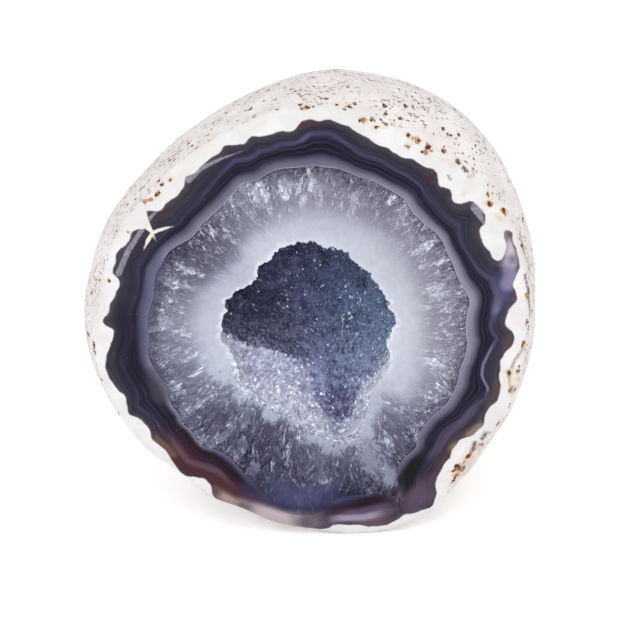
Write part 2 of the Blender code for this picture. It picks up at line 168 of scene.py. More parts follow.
# Degrees over which the agate's thickness is smoothed for its bands
THICKNESS_BLUR = 10
# Violet band: direction, distance from the quartz, half width and strength
VIOLET_BAND = (
    (0, 8.0, 1.9, 0.9), (12, 7.4, 1.3, 0.8), (22, 6.0, 0.9, 0.45), (30, 5.5, 1.4, 0.35),
    (42, 5.2, 1.2, 0.1), (50, 5.0, 0.6, 0.5), (60, 5.3, 0.8, 0.6), (75, 5.6, 0.8, 0.55),
    (84, 7.4, 0.8, 0.75), (92, 6.9, 0.9, 0.85), (105, 5.7, 0.9, 0.6), (115, 5.8, 0.9, 0.75),
    (124, 5.2, 0.9, 0.3), (135, 4.6, 0.8, 0.1), (160, 4.4, 0.8, 0.1), (180, 4.4, 0.8, 0.15),
    (195, 6.0, 0.5, 0.35), (208, 7.0, 0.5, 0.35), (222, 5.0, 0.6, 0.1), (275, 4.0, 0.6, 0.0),
    (298, 5.4, 1.2, 0.3), (315, 5.2, 0.6, 0.35), (326, 5.8, 0.6, 0.4), (332, 7.6, 0.55, 0.7),
    (335, 7.2, 0.6, 0.9), (338, 6.0, 0.65, 0.95), (342, 5.4, 0.65, 0.95), (346, 6.0, 0.6, 0.9),
    (351, 6.9, 0.6, 0.8), (355, 6.6, 1.0, 0.7),
)
# Stains and tints of the cut face: points (right, up), half width, softness, colour and strength
STAINS = (
    (((48.3, 2.7), (49.0, 2.9)), 0.3, 0.6, (112, 80, 72), 0.8),
    (((45.2, -0.6), (45.8, 3.4), (46.0, 7.0), (43.9, 10.2)), 0.8, 1.2, (90, 87, 126), 0.75),
    (((46.6, 6.4), (47.4, 9.0), (46.6, 11.4)), 0.7, 1.0, (150, 141, 176), 0.85),
    (((47.5, 12.2), (47.3, 15.4), (46.9, 18.7)), 0.9, 0.8, (207, 199, 212), 0.95),
    (((49.2, 8.6), (49.6, 11.1), (48.6, 14.9), (47.5, 17.4), (47.2, 19.8), (46.2, 20.5)),
     0.12, 0.3, (124, 92, 92), 0.9),
    (((45.9, 19.6), (46.2, 17.0), (46.1, 15.0), (45.8, 13.0)), 0.05, 0.3, (146, 118, 124), 0.7),
    (((28.6, 33.2), (28.2, 32.9)), 0.3, 0.7, (82, 50, 54), 0.5),
    (((2.4, 47.2), (0.0, 46.9), (-1.9, 46.3)), 0.3, 0.9, (92, 62, 64), 0.6),
    (((-33.4, 27.1), (-34.5, 26.0)), 0.3, 0.9, (86, 58, 60), 0.6),
    (((-33.8, 17.0), (-37.0, 11.4), (-38.8, 4.7), (-40.0, -2.5), (-38.4, -11.6)),
     0.8, 1.1, (94, 94, 126), 0.65),
    (((-43.0, 6.0), (-43.7, -1.0), (-43.8, -6.0), (-42.3, -12.5), (-39.5, -18.1)),
     1.5, 1.8, (38, 37, 50), 0.65),
    (((-37.0, -13.5), (-36.0, -18.2)), 1.2, 1.5, (82, 79, 96), 0.6),
    (((-36.6, -29.0), (-31.5, -35.0), (-26.5, -39.4), (-20.5, -43.0), (-13.5, -46.9), (-10.6, -48.2)),
     1.4, 1.1, (84, 50, 56), 0.88),
    (((-35.1, -27.7), (-33.2, -31.1), (-30.1, -35.6), (-26.6, -36.9), (-22.9, -38.4), (-19.7, -42.0)),
     0.2, 0.5, (112, 84, 100), 0.7),
    (((-34.4, -25.4), (-30.6, -30.0), (-28.0, -33.2), (-24.8, -34.6), (-21.0, -37.4),
      (-16.5, -42.4), (-12.5, -46.6)),
     0.5, 0.8, (60, 36, 48), 0.8),
    (((-33.5, -24.0), (-29.0, -30.9), (-26.9, -33.3), (-23.6, -34.8), (-18.3, -40.1), (-13.0, -45.4)),
     0.15, 0.45, (36, 20, 32), 0.65),
    (((-37.6, -29.6), (-35.4, -32.0), (-33.9, -33.6)), 0.3, 0.8, (124, 98, 86), 0.7),
    (((-23.9, -43.6), (-20.2, -46.0), (-17.6, -47.3)), 0.4, 0.9, (186, 160, 150), 0.85),
    (((-17.4, -48.0), (-8.7, -50.9), (-1.5, -52.2)), 1.3, 1.0, (206, 190, 196), 0.95),
    (((-3.6, -50.7), (0.0, -51.4), (3.4, -52.0)), 1.0, 1.2, (120, 106, 120), 0.85),
    (((-13.5, -42.4), (-6.0, -45.6), (0.0, -46.4), (8.5, -44.4)), 1.5, 2.0, (72, 76, 116), 0.9),
    (((0.5, -49.6), (4.5, -49.2), (8.4, -48.8), (14.4, -47.8), (19.6, -46.2)), 0.6, 0.9, (58, 40, 54), 0.9),
    (((8.0, -47.9), (14.4, -47.0), (19.8, -45.3)), 0.5, 0.6, (46, 29, 42), 0.85),
    (((8.0, -53.2), (13.6, -53.0), (19.8, -51.2)), 0.7, 0.9, (116, 94, 104), 0.85),
    (((4.6, -50.5), (10.7, -50.2), (17.3, -48.9), (20.5, -47.8)), 0.4, 0.7, (104, 86, 112), 0.8),
    (((2.6, -52.0), (5.7, -51.4), (12.1, -51.4), (18.3, -50.1)), 0.35, 0.5, (172, 157, 182), 0.88),
    (((20.6, -51.6), (23.7, -47.8), (26.9, -45.6), (30.6, -43.4)), 1.6, 1.5, (104, 84, 106), 0.85),
    (((20.8, -47.0), (22.0, -42.0), (24.3, -39.0), (28.0, -34.4)), 1.0, 1.1, (34, 27, 36), 0.9),
    (((20.4, -47.2), (20.7, -45.8)), 0.12, 0.45, (124, 100, 98), 0.6),
    (((22.0, -51.4), (20.7, -49.1), (20.9, -47.3), (19.3, -45.2)), 0.03, 0.14, (40, 26, 34), 0.85),
    (((28.9, -41.8), (31.6, -37.8), (33.7, -34.5), (36.4, -31.6)), 0.7, 1.0, (90, 70, 72), 0.75),
    (((33.6, -34.2), (34.4, -33.5)), 0.3, 0.6, (140, 122, 98), 0.7),
    (((38.0, -31.2), (40.4, -29.2)), 0.35, 0.9, (156, 138, 122), 0.75),
    (((26.8, -38.1), (30.0, -34.5), (32.9, -30.3), (35.6, -28.2), (38.8, -24.6), (41.0, -21.4)),
     0.35, 0.7, (98, 88, 114), 0.65),
    (((42.7, -23.6), (44.4, -20.0), (44.6, -18.0)), 0.5, 0.8, (98, 80, 80), 0.7),
    (((46.3, -9.1), (47.1, -6.8)), 0.4, 0.7, (98, 78, 78), 0.7),
)
# Ochre arcs, brown cracks and grey slits in the rind as they are seen: the same parts
SCARS = (
    (((37.2, 32.9), (38.5, 33.4), (38.2, 34.7)), 0.12, 0.35, (206, 188, 156), 0.8),
    (((33.3, 35.5), (32.1, 36.9), (30.5, 37.5)), 0.12, 0.35, (232, 218, 194), 0.6),
    (((36.9, 34.3), (35.9, 35.2)), 0.22, 0.2, (44, 38, 34), 0.97),
    (((46.2, 24.2), (45.4, 24.8)), 0.35, 0.35, (212, 160, 104), 0.85),
    (((43.8, 26.4), (42.9, 27.2)), 0.2, 0.4, (236, 216, 184), 0.6),
    (((45.0, 22.3), (44.0, 23.4)), 0.2, 0.4, (222, 196, 160), 0.6),
    (((51.6, 12.0), (50.9, 14.7), (50.3, 16.9), (49.2, 18.8)), 0.14, 0.22, (98, 50, 34), 0.9),
    (((52.6, -1.6), (52.3, 0.7), (51.9, 3.5)), 0.12, 0.25, (92, 56, 44), 0.85),
    (((52.3, 4.1), (51.3, 6.9), (50.9, 8.6)), 0.16, 0.25, (104, 56, 40), 0.85),
    (((48.1, -21.7), (47.6, -19.9), (47.3, -16.9), (47.5, -15.2), (48.7, -12.3), (50.5, -9.9), (51.7, -8.1)),
     0.1, 0.25, (156, 98, 56), 0.85),
    (((48.6, -20.9), (48.5, -17.5), (49.2, -14.5)), 0.5, 0.7, (240, 224, 204), 0.7),
    (((33.8, -43.2), (36.8, -39.0), (40.6, -33.5)), 0.9, 1.0, (226, 190, 150), 0.5),
    (((41.3, -30.6), (42.9, -30.8)), 0.12, 0.2, (142, 130, 142), 0.85),
    (((41.0, -32.1), (41.5, -31.2)), 0.3, 0.3, (58, 32, 24), 0.9),
    (((39.1, -33.2), (38.7, -34.9)), 0.3, 0.3, (84, 44, 28), 0.85),
    (((41.1, -33.7), (41.3, -34.0)), 0.2, 0.3, (70, 40, 30), 0.8),
    (((38.1, -35.9), (37.9, -36.2)), 0.15, 0.25, (90, 58, 46), 0.8),
    (((36.1, -40.0), (36.6, -39.5)), 0.3, 0.3, (64, 32, 26), 0.9),
    (((34.2, -41.3), (35.3, -40.6)), 0.2, 0.35, (214, 158, 106), 0.85),
    (((45.2, -28.1), (44.7, -28.9)), 0.1, 0.25, (92, 62, 52), 0.8),
    (((48.1, -23.7), (47.7, -24.6)), 0.08, 0.25, (96, 64, 54), 0.75),
    (((49.3, -19.6), (49.0, -20.5)), 0.1, 0.25, (120, 66, 44), 0.8),
    (((36.0, 28.7), (36.1, 28.8)), 0.1, 0.4, (218, 214, 176), 0.7),
    (((32.9, 32.5), (32.3, 33.3)), 0.15, 0.25, (130, 132, 134), 0.8),
    (((-29.0, 35.9), (-31.6, 33.8)), 0.2, 0.5, (238, 228, 204), 0.5),
)
# Edge of the deep part of the hollow, as it is seen: outside it the crystals are pale, partly their own
# colour and partly painted light
DEEP_EDGE = (
    (-26.0, 0.0), (-21.1, -3.0), (-17.0, -5.6), (-14.1, -6.9), (-10.3, -7.6), (-5.8, -9.6),
    (-3.3, -11.0), (-0.8, -13.3), (0.4, -15.8), (0.3, -19.0), (1.0, -22.0), (3.6, -25.2),
    (7.0, -26.5), (9.7, -25.6), (10.6, -21.5), (12.0, -17.9), (14.1, -15.6), (16.8, -12.3),
    (18.0, -10.1), (18.6, -5.0), (23.0, -3.0), (26.0, 12.0), (10.0, 32.0), (-16.0, 32.0), (-32.0, 8.0),
)
# Slope past the brow that still catches light
HALF_LIT = ((1.0, -12.6), (2.6, -14.5), (3.4, -18.0))

# Streaks of white in the grey quartz
WHITE_STREAKS = (
    ((-9.4, 26.5, 0.5), (-11.4, 32.2, 0.9)), ((-2.1, 28.0, 0.4), (-2.4, 32.8, 0.8)),
    ((29.8, 12.2, 0.3), (31.3, 12.8, 0.6)), ((18.4, 27.4, 0.3), (19.2, 28.6, 0.5)),
    ((-24.8, 17.0, 0.4), (-27.7, 19.0, 0.8)), ((-30.8, -17.5, 0.4), (-33.7, -19.1, 0.6)),
    ((-16.4, 17.2, 0.3), (-19.7, 20.6, 0.8)), ((-22.5, 21.2, 0.5), (-23.9, 22.5, 0.7)),
    ((-25.4, 10.4, 0.3), (-30.9, 12.7, 0.8)), ((-26.4, 7.2, 0.3), (-32.1, 8.7, 0.6)),
    ((-19.9, -15.5, 0.5), (-29.5, -22.9, 0.6)), ((-18.1, -18.8, 0.4), (-21.2, -22.2, 0.5)),
    ((-16.9, -22.6, 0.5), (-19.9, -26.5, 0.7)), ((-5.7, -31.9, 0.6), (-7.0, -38.9, 0.6)),
    ((3.1, -41.2, 0.8), (3.3, -43.6, 0.4)), ((16.9, -31.6, 0.5), (18.6, -34.8, 0.7)),
    ((21.9, -24.1, 0.5), (22.0, -24.2, 0.5)), ((28.1, -20.7, 0.4), (30.1, -22.2, 0.5)),
)
# Pale ray of milky quartz at the bottom
MILKY_RAY = ((10.4, -29.0, 1.6), (14.0, -36.5, 1.9), (18.6, -42.0, 1.0))

# Larger pits of the skin: place in face coordinates (right, up, behind) and half width
PITS = (
    (42.4, 26.2, -0.1, 0.8), (41.8, 28.6, 0.3, 0.6), (45.9, 24.4, 0.9, 0.7),
    (36.5, 34.6, 0.0, 0.8), (34.8, 36.8, 0.5, 0.8), (31.4, 39.2, 0.4, 0.8),
    (27.9, 40.5, 0.0, 1.0), (26.9, 38.9, -0.2, 0.6), (25.3, 42.0, 0.3, 0.9),
    (23.2, 43.1, 0.4, 0.7), (22.9, 40.5, -0.2, 0.7), (19.4, 46.0, 0.6, 0.6), (17.9, 46.1, 0.4, 0.7),
    (16.8, 47.0, 0.6, 0.7), (15.4, 45.3, 0.0, 0.7), (14.4, 47.2, 0.4, 0.7), (12.7, 47.1, 0.0, 0.8),
    (9.6, 50.6, 1.5, 0.8), (8.3, 49.9, 0.8, 0.6), (21.5, 47.2, 2.6, 0.6), (6.3, 51.0, 1.6, 0.6),
    (4.0, 52.0, 3.6, 0.5), (1.0, 50.8, 0.6, 0.7), (-0.8, 50.6, 0.5, 0.7), (-1.8, 50.2, 0.4, 0.5),
    (-13.0, 48.9, 1.0, 0.6), (-14.3, 48.7, 1.2, 0.5), (-18.8, 46.8, 1.4, 0.5), (-21.5, 46.0, 9.3, 0.6),
    (-32.6, 36.4, 2.8, 0.6), (-32.9, 33.8, -0.1, 0.6), (-34.9, 33.0, 0.1, 0.7), (-35.9, 33.8, 2.0, 0.7),
    (-37.0, 33.0, 2.4, 0.6), (-36.1, 30.7, 0.0, 0.7), (-37.5, 29.5, -0.1, 0.8), (-38.9, 28.9, 0.2, 0.7),
    (-42.8, 21.8, -0.2, 0.4), (-48.0, 10.1, 0.0, 0.6), (-49.3, 7.5, 0.1, 0.4), (-52.2, -5.7, 1.2, 0.7),
    (34.2, -43.2, 0.7, 0.7), (35.5, -42.2, 0.5, 1.1), (35.0, -39.5, -0.2, 1.1), (36.9, -38.5, -0.1, 0.7),
    (37.9, -36.8, 0.0, 1.0), (38.5, -35.5, 0.0, 0.7), (40.6, -34.2, 0.3, 0.9), (39.3, -42.4, 5.2, 1.3),
    (48.0, -20.4, 0.2, 0.9), (47.3, -15.7, -0.2, 0.8), (49.8, -15.7, 0.8, 0.8), (51.0, -9.2, 0.4, 0.8),
    (51.7, -3.5, 0.5, 0.7), (51.7, 3.4, 0.6, 0.8), (50.6, 15.6, 1.0, 0.7), (50.2, 18.0, 1.2, 0.6),
    (23.0, 49.3, 5.4, 0.6), (32.9, 42.9, 3.7, 0.6), (47.0, 25.0, 1.6, 0.6), (44.2, 29.5, 1.2, 0.6),
)

# Share of the screen colour that the stone's own colour has, because of the studio's brightness
LIGHT_GAIN = 0.79
# Light that the gloss of the cut face adds, and the darkest colour that is left
FACE_SHEEN = 0.0115
DARKEST = 0.002
QUARTZ_IOR = 1.54
# Colour of the painted glints, highlights put into the crystals' base colour
PAINTED_GLINT = (0.80, 0.88, 1.0, 1.0)
BLACK = (0.0, 0.0, 0.0, 1.0)
WHITE = (1.0, 1.0, 1.0, 1.0)
# Directions of the face as a vector, whose third part is the radius in these lengths
SPOKE_LENGTH = 100.0
# Inside of a grown crystal: its width, its length and how far its pattern lies from its neighbour's
GRAIN_WIDTH = 32.0
GRAIN_LENGTH = 100.0
GRAIN_APART = 31.0

# Grey quartz by brightness: colour in the upper half and in the lower one
QUARTZ_SHADES = (
    (0.05, (14, 13, 20), (13, 11, 22)), (0.2, (50, 48, 62), (50, 47, 65)),
    (0.35, (88, 86, 101), (90, 88, 110)), (0.5, (128, 126, 143), (124, 126, 149)),
    (0.6, (153, 152, 168), (148, 152, 175)), (0.7, (179, 179, 193), (173, 179, 200)),
    (0.8, (202, 205, 218), (199, 205, 221)), (0.9, (228, 230, 239), (228, 231, 241)),
    (1.0, (250, 250, 255), (250, 250, 255)),
)
# Agate by layer, and the lavender layer by brightness
AGATE_SHADES = (
    (0.0, (66, 64, 84)), (0.9, (60, 58, 76)), (1.0, (52, 49, 66)), (1.08, (43, 40, 57)), (1.18, (32, 29, 46)),
    (1.27, (53, 50, 66)), (1.36, (35, 32, 48)), (1.5, (32, 29, 46)), (1.57, (56, 53, 70)),
    (1.66, (41, 38, 54)), (1.85, (50, 48, 64)), (2.0, (60, 57, 78)), (2.2, (57, 54, 70)),
    (2.45, (56, 53, 66)), (2.75, (68, 64, 76)), (3.0, (82, 75, 83)), (3.2, (96, 88, 94)),
)
LAVENDER_SHADES = (
    (0.1, (24, 22, 34)), (0.25, (64, 60, 78)), (0.4, (101, 99, 122)), (0.5, (128, 126, 146)),
    (0.7, (178, 177, 194)),
)
# Crystals of the hollow from left to right, in the deep part and on the ledge; lighter to the right and pale
# on the ledge, partly their own colour and partly painted light
DEEP_SHADES = (
    (-22.0, (80, 78, 112)), (-8.0, (92, 91, 130)), (2.0, (104, 112, 154)), (12.0, (120, 142, 182)),
    (18.0, (126, 150, 190)),
)
LEDGE_SHADES = (
    (-24.0, (190, 188, 209)), (-17.0, (187, 189, 213)), (-10.0, (194, 198, 224)), (-4.0, (175, 179, 208)),
    (0.0, (162, 166, 196)), (6.0, (166, 170, 196)), (10.0, (184, 189, 211)), (14.0, (208, 214, 231)),
    (18.0, (212, 218, 234)),
)

# Studio, in metres and degrees
FLOOR_HALF = 3.0
FLOOR_HEIGHT = -0.0001
FLOOR_COLOUR = (0.93, 0.93, 0.93, 1.0)
FLOOR_GLOW = 0.18
CAMERA_TURN = (4.0, 24.5)
CAMERA_OFFSET = (0.640, 0.000474, 0.00142)
CAMERA_LENS = 156.8
SENSOR_WIDTH = 36.0
LIGHT_TARGET = (0.0, -0.02, 0.055)
KEY_LIGHT = (-0.22, -0.6, 0.88)
KEY_SIZE = 0.5
KEY_POWER = 1.6
# Small lights that wake the crystals
SPARK_SIZE = 0.02
SPARK_POWER = 0.16
SPARK_LIGHTS = (
    (-0.35, -0.75, 0.45), (0.42, -0.70, 0.50), (0.05, -0.60, 0.80), (-0.15, -0.85, 0.28),
    (0.25, -0.85, 0.36), (-0.60, -0.55, 0.60), (0.60, -0.50, 0.66), (0.00, -0.75, 0.60),
)

# Fineness of the meshes
AROUND = 1000
FLAT_ROWS = 84
EDGE_ROWS = 9
FINE_STEP = 0.4
COARSE_STEP = 0.75
BACK_STEP = 1.0
# Lengths along the skin from which the steps are longer, and from which the rings have half their points
COARSE_FROM = 21.0
BACK_FROM = 56.0
HALF_FROM = 22.0
QUARTER_FROM = 60.0
CRYSTAL_SPACING = 0.40
CRYSTAL_DRAWS = 110000
# Least and greatest size of a crystal, times its spacing, then its height, times its size, and its lean
CRYSTAL_SIZES = (0.85, 1.25)
TIP_HEIGHTS = (0.3, 0.95)
TIP_SWAY = 0.45
# Painted glints, highlights put into the crystals' base colour: share of the crystals' facets that glint with
# their crystal, and how brightly a facet glints alone
PAINTED_GLINT_TOGETHER = 0.62
PAINTED_GLINT_ALONE = 0.965
# Grid over the crust on which crystals are sown: degrees around and steps inwards
SOW_TURN = 2.0
SOW_STEPS = 120
# Turn and step by which the slope of the crust is measured, and the crust's least depth behind the face
SLOPE_TURN = 0.8
SLOPE_STEP = 0.004
CRUST_FRONT = 0.06
PIT_SEED = 21
SOW_SEED = 7
CRYSTAL_SEED = 8
CRUST_AROUND = 360
BACK_RINGS = 20
WALL_STEPS = 200
# Points of the profile that is measured for the steps, and the nodule's mean radius there
PROFILE_STEPS = 400
MEAN_RADIUS = 55.0
# Nearest step to the mouth that a crystal may have, and how much the flat map widens the deep part
SOW_START = 0.009
DISC_SWELL = 1.4
SMALL_PITS = 1500
# How far round a pit its rust reaches, in half widths
PIT_REACH = 1.5
# Cells of the noise along one side, and points measured at once
LATTICE = 32
CURVE_BLOCK = 8000


def periodic(table, degrees):
    """Smooth closed curve through evenly spaced values."""
    values = np.asarray(table, float)
    count = len(values)
    at = np.asarray(degrees, float) % 360.0 / (360.0 / count)
    index = np.floor(at).astype(int)
    part = at - index
    before = values[(index - 1) % count]
    here = values[index % count]
    after = values[(index + 1) % count]
    beyond = values[(index + 2) % count]
    bend = 2 * before - 5 * here + 4 * after - beyond
    twist = 3 * (here - after) + beyond - before
    return here + 0.5 * part * (after - before + part * (bend + part * twist))


def ease(low, high, value):
    """Smooth step from 0 at low to 1 at high."""
    at = np.clip((value - low) / (high - low), 0.0, 1.0)
    return at * at * (3.0 - 2.0 * at)


def lattice_noise(points, size, seed):
    """Smooth noise between -1 and 1 whose bumps are about size across."""
    values = np.random.default_rng(seed).uniform(-1.0, 1.0, (LATTICE,) * 3)
    at = np.asarray(points, float) / size
    low = np.floor(at).astype(int)
    part = at - low
    part = part * part * (3.0 - 2.0 * part)
    total = np.zeros(at.shape[:-1])
    for corner in np.ndindex(2, 2, 2):
        step = np.array(corner[::-1])
        cell = (low + step) % LATTICE
        share = np.prod(np.where(step == 1, part, 1.0 - part), axis=-1)
        total += share * values[cell[..., 0], cell[..., 1], cell[..., 2]]
    return total


def colour(red, green, blue, gain=LIGHT_GAIN):
    """Linear colour that shows as these screen values, of 0 to 255, under the studio light."""
    linear = [((value / 255.0 + 0.055) / 1.055) ** 2.4 for value in (red, green, blue)]
    return tuple(min(1.0, value * gain) for value in linear) + (1.0,)


def to_row(points):
    """Face coordinates (right, up the face, behind the face) to the object's own axes, in metres."""
    right, up, behind = np.moveaxis(np.asarray(points, float), -1, 0)
    x = FACE_CENTRE[0] + right
    y = FACE_CENTRE[1] + up * math.sin(FACE_LEAN) + behind * math.cos(FACE_LEAN)
    z = FACE_CENTRE[2] + up * math.cos(FACE_LEAN) - behind * math.sin(FACE_LEAN)
    return np.stack([x, y, z], axis=-1) * 0.001


def seen_from_front(points):
    """Place (right, up) where each point shows in the photo, whose camera looks down on the face."""
    return np.stack([points[..., 0], points[..., 1] + SEEN_RISE * points[..., 2]], axis=-1)


def turn_of(points):
    """Direction of each point from the middle of the face, in degrees."""
    return np.degrees(np.arctan2(points[:, 1], points[:, 0])) % 360.0


def polar(degrees, radius, behind):
    """Points in face coordinates from a direction, a distance from the middle and a depth."""
    turn = np.radians(degrees)
    behind = np.broadcast_to(behind, np.shape(radius))
    return np.stack([radius * np.cos(turn), radius * np.sin(turn), behind], axis=-1)


def mouth(degrees):
    """Radius of the ragged mouth."""
    degrees = np.asarray(degrees, float)
    circle = polar(degrees, np.full(degrees.shape, 20.0), 0.0)
    return (
        periodic(MOUTH_RADIUS, degrees)
        + 0.42 * lattice_noise(circle, 0.9, 3)
        + 0.22 * lattice_noise(circle, 0.4, 4)
    )


def skin(degrees, behind):
    """Points of the nodule's skin at a direction and a depth behind the face."""
    degrees = np.asarray(degrees, float)
    face = periodic(FACE_RADIUS, degrees)
    widest = periodic(WIDEST_RADIUS, degrees)
    if behind <= WIDEST_DEPTH:
        radius = widest - (widest - face) * (1.0 - behind / WIDEST_DEPTH) ** 2
        back = 0.0
    else:
        back = min(1.0, (behind - WIDEST_DEPTH) / (BODY_DEPTH - WIDEST_DEPTH))
        radius = widest * (1.0 - back**BACK_FULLNESS) ** (1.0 / BACK_FULLNESS)
    lumps = np.sin(np.radians(3.0 * degrees + 40.0) + 0.09 * behind)
    lumps = lumps + 0.7 * np.sin(np.radians(5.0 * degrees - 70.0) - 0.13 * behind)
    radius = radius * (1.0 + 0.009 * lumps * ease(10.0, 30.0, behind))
    points = polar(degrees, radius, behind)
    points[..., 0] += BACK_SHIFT[0] * back * back
    points[..., 1] += BACK_SHIFT[1] * back * back
    return points


def floor_depth(right, up, inset):
    """Depth of the hollow's floor, with the ledge at the lower left."""
    deep = LOW_FLOOR + (DEEP_FLOOR - LOW_FLOOR) * ease(-27.0, -7.0, up)
    deep = deep - 2.0 * ease(2.0, 16.0, right)
    ledge = LEDGE_FRONT + (LEDGE_BROW - LEDGE_FRONT) * ease(-24.0, -6.0, up)
    return deep + (ledge - deep) * on_ledge(right, up) - inset


def on_ledge(right, up):
    """1 on the ledge and 0 past its brow, which has two sides and a corner cut off."""
    over = up + 6.4 + 0.36 * (right + 20.5)
    corner = 0.67 * right + 0.74 * up + 10.4
    beside = right - 2.2
    past = 0.5 * (over + beside + np.sqrt((over - beside) ** 2 + 4.0))
    past = 0.5 * (past + corner + np.sqrt((past - corner) ** 2 + 2.0)) - 0.5
    return 1.0 - ease(0.0, 3.4, past)


def hollow(degrees, inward, inset, ragged):
    """Points of the hollow's wall. inward is 0 at the mouth and 1 at the middle."""
    turn = np.radians(degrees)
    edge = periodic(HOLLOW_RADIUS, degrees) - inset
    if ragged:
        rim = mouth(degrees)
        edge = rim + (edge - rim) * ease(0.0, 0.2, inward)
    radius = edge * (1.0 - inward)
    right = radius * np.cos(turn) + inward * HOLLOW_CENTRE[0]
    up = radius * np.sin(turn) + inward * HOLLOW_CENTRE[1]
    near = np.clip(edge * inward / periodic(WALL_WIDTH, degrees), 0.0, 1.0)
    fall = np.sqrt(np.maximum(0.0, 1.0 - (1.0 - near) ** 2))
    behind = fall * floor_depth(right, up, inset)
    return np.stack([right, up + HOLLOW_RISE * behind, behind], axis=-1)


def spread(inset, ragged, count=720, fine=400):
    """How far inward each even step along the wall lies, for every direction."""
    degrees = np.arange(count) * 360.0 / count
    inward = np.linspace(0.0, 1.0, fine + 1) ** 2
    grid = hollow(degrees[:, None], inward[None, :], inset, ragged)
    length = np.linalg.norm(np.diff(grid, axis=1), axis=2)
    travelled = np.concatenate([np.zeros((count, 1)), np.cumsum(length, axis=1)], axis=1)
    travelled = travelled / travelled[:, -1:]
    even = np.linspace(0.0, 1.0, WALL_STEPS + 1)
    return np.array([np.interp(even, row, inward) for row in travelled])


def hollow_even(table, degrees, step, inset, ragged):
    """Points of the wall by even steps, 0 at the mouth and 1 at the middle."""
    count = len(table)
    at = np.asarray(degrees, float) % 360.0 / (360.0 / count)
    low = np.floor(at).astype(int) % count
    part = at - np.floor(at)
    along = np.clip(np.asarray(step, float), 0.0, 1.0) * WALL_STEPS
    first = np.minimum(np.floor(along).astype(int), WALL_STEPS - 1)
    rest = along - first
    high = (low + 1) % count
    near = table[low, first] * (1.0 - rest) + table[low, first + 1] * rest
    far = table[high, first] * (1.0 - rest) + table[high, first + 1] * rest
    return hollow(degrees, near * (1.0 - part) + far * part, inset, ragged)


def from_curve(table, points):
    """Distance outwards from a closed curve round the face, negative inside it."""
    degrees = np.arange(0.0, 360.0, 0.5)
    curve = polar(degrees, periodic(table, degrees), 0.0)[:, :2].astype(np.float32)
    places = points[:, :2].astype(np.float32)
    nearest = np.empty(len(places), int)
    for start in range(0, len(places), CURVE_BLOCK):
        part = places[start : start + CURVE_BLOCK]
        apart = ((part[:, None, :] - curve[None, :, :]) ** 2).sum(axis=2)
        nearest[start : start + CURVE_BLOCK] = apart.argmin(axis=1)
    best = np.full(len(places), np.inf)
    for side in (-1, 0):
        one = curve[(nearest + side) % len(curve)]
        two = curve[(nearest + side + 1) % len(curve)]
        best = np.minimum(best, from_segment(places, one, two)[0])
    radius = np.hypot(places[:, 0], places[:, 1])
    return np.where(radius > periodic(table, turn_of(places)), best, -best)


def from_segment(places, one, two):
    """Distance to a straight line between two points, and how far along it the nearest point is."""
    line = two - one
    along = ((places - one) * line).sum(axis=-1) / np.maximum((line * line).sum(axis=-1), 1e-9)
    along = np.clip(along, 0.0, 1.0)
    return np.linalg.norm(places - (one + along[..., None] * line), axis=-1), along


def from_line(line, places):
    """Distance to a line through the given points."""
    line = np.array(line)
    return np.min([from_segment(places, one, two)[0] for one, two in zip(line[:-1], line[1:])], axis=0)


def outside_shape(shape, places):
    """Distance outwards from a closed shape, negative inside it."""
    apart = from_line(shape + shape[:1], places)
    inside = np.zeros(len(places), bool)
    for (x1, y1), (x2, y2) in zip(shape, shape[1:] + shape[:1]):
        between = (y1 > places[:, 1]) != (y2 > places[:, 1])
        cut = x1 + (places[:, 1] - y1) * (x2 - x1) / (y2 - y1 if y1 != y2 else 1.0)
        inside ^= between & (places[:, 0] < cut)
    return np.where(inside, -apart, apart)


def inside_strokes(strokes, points):
    """How far inside the nearest stroke each point is, negative outside."""
    best = np.full(len(points), -60.0)
    for stroke in strokes:
        for (u1, v1, h1), (u2, v2, h2) in zip(stroke[:-1], stroke[1:]):
            apart, along = from_segment(points[:, :2], np.array([u1, v1]), np.array([u2, v2]))
            best = np.maximum(best, h1 + (h2 - h1) * along - apart)
    return best


def stone_rings():
    """Rings of the stone's surface from the lip of the mouth round to the back, and which is the seam."""
    degrees = np.arange(AROUND) * 360.0 / AROUND
    lip = mouth(degrees)
    rings = [polar(degrees, lip + 0.25, 0.9), polar(degrees, lip + 0.03, 0.35)]

    # Polished plane and its rounded edge
    face = periodic(FACE_RADIUS, degrees)
    flat = face - EDGE_WIDTH
    for part in np.linspace(0.0, 1.0, FLAT_ROWS):
        rings.append(polar(degrees, lip + (flat - lip) * part, FACE_PLANE))
    below = skin(degrees, EDGE_DROP)
    outer = np.hypot(below[:, 0], below[:, 1])
    for part in np.linspace(0.0, 1.0, EDGE_ROWS + 1)[1:]:
        rest = 1.0 - part
        radius = rest * rest * flat + 2.0 * part * rest * face + part * part * outer
        rings.append(polar(degrees, radius, FACE_PLANE + part * part * (EDGE_DROP - FACE_PLANE)))

    # Skin, by length along its profile
    back = np.linspace(0.0, 1.0, 10 * PROFILE_STEPS)[1:] ** 0.5
    side = np.linspace(EDGE_DROP, WIDEST_DEPTH, PROFILE_STEPS)
    behind = np.concatenate([side, WIDEST_DEPTH + (BODY_DEPTH - WIDEST_DEPTH) * back])
    shrink = np.concatenate([np.ones(PROFILE_STEPS), (1.0 - back**BACK_FULLNESS) ** (1.0 / BACK_FULLNESS)])
    length = np.hypot(np.diff(behind), np.diff(MEAN_RADIUS * shrink))
    travelled = np.concatenate([[0.0], np.cumsum(length)])
    at = 0.0
    seam = None
    while True:
        at += FINE_STEP if at < COARSE_FROM else COARSE_STEP if at < BACK_FROM else BACK_STEP
        if at > travelled[-1] - 0.6 * BACK_STEP:
            break
        depth = float(np.interp(at, travelled, behind))
        count = AROUND if at < HALF_FROM else AROUND // 2 if at < QUARTER_FROM else AROUND // 4
        rings.append(skin(np.arange(count) * 360.0 / count, depth))
        if seam is None and depth > SEAM_DEPTH:
            seam = len(rings) - 1
    rings.append(np.array([[BACK_SHIFT[0], BACK_SHIFT[1], BODY_DEPTH]]))
    return rings, seam


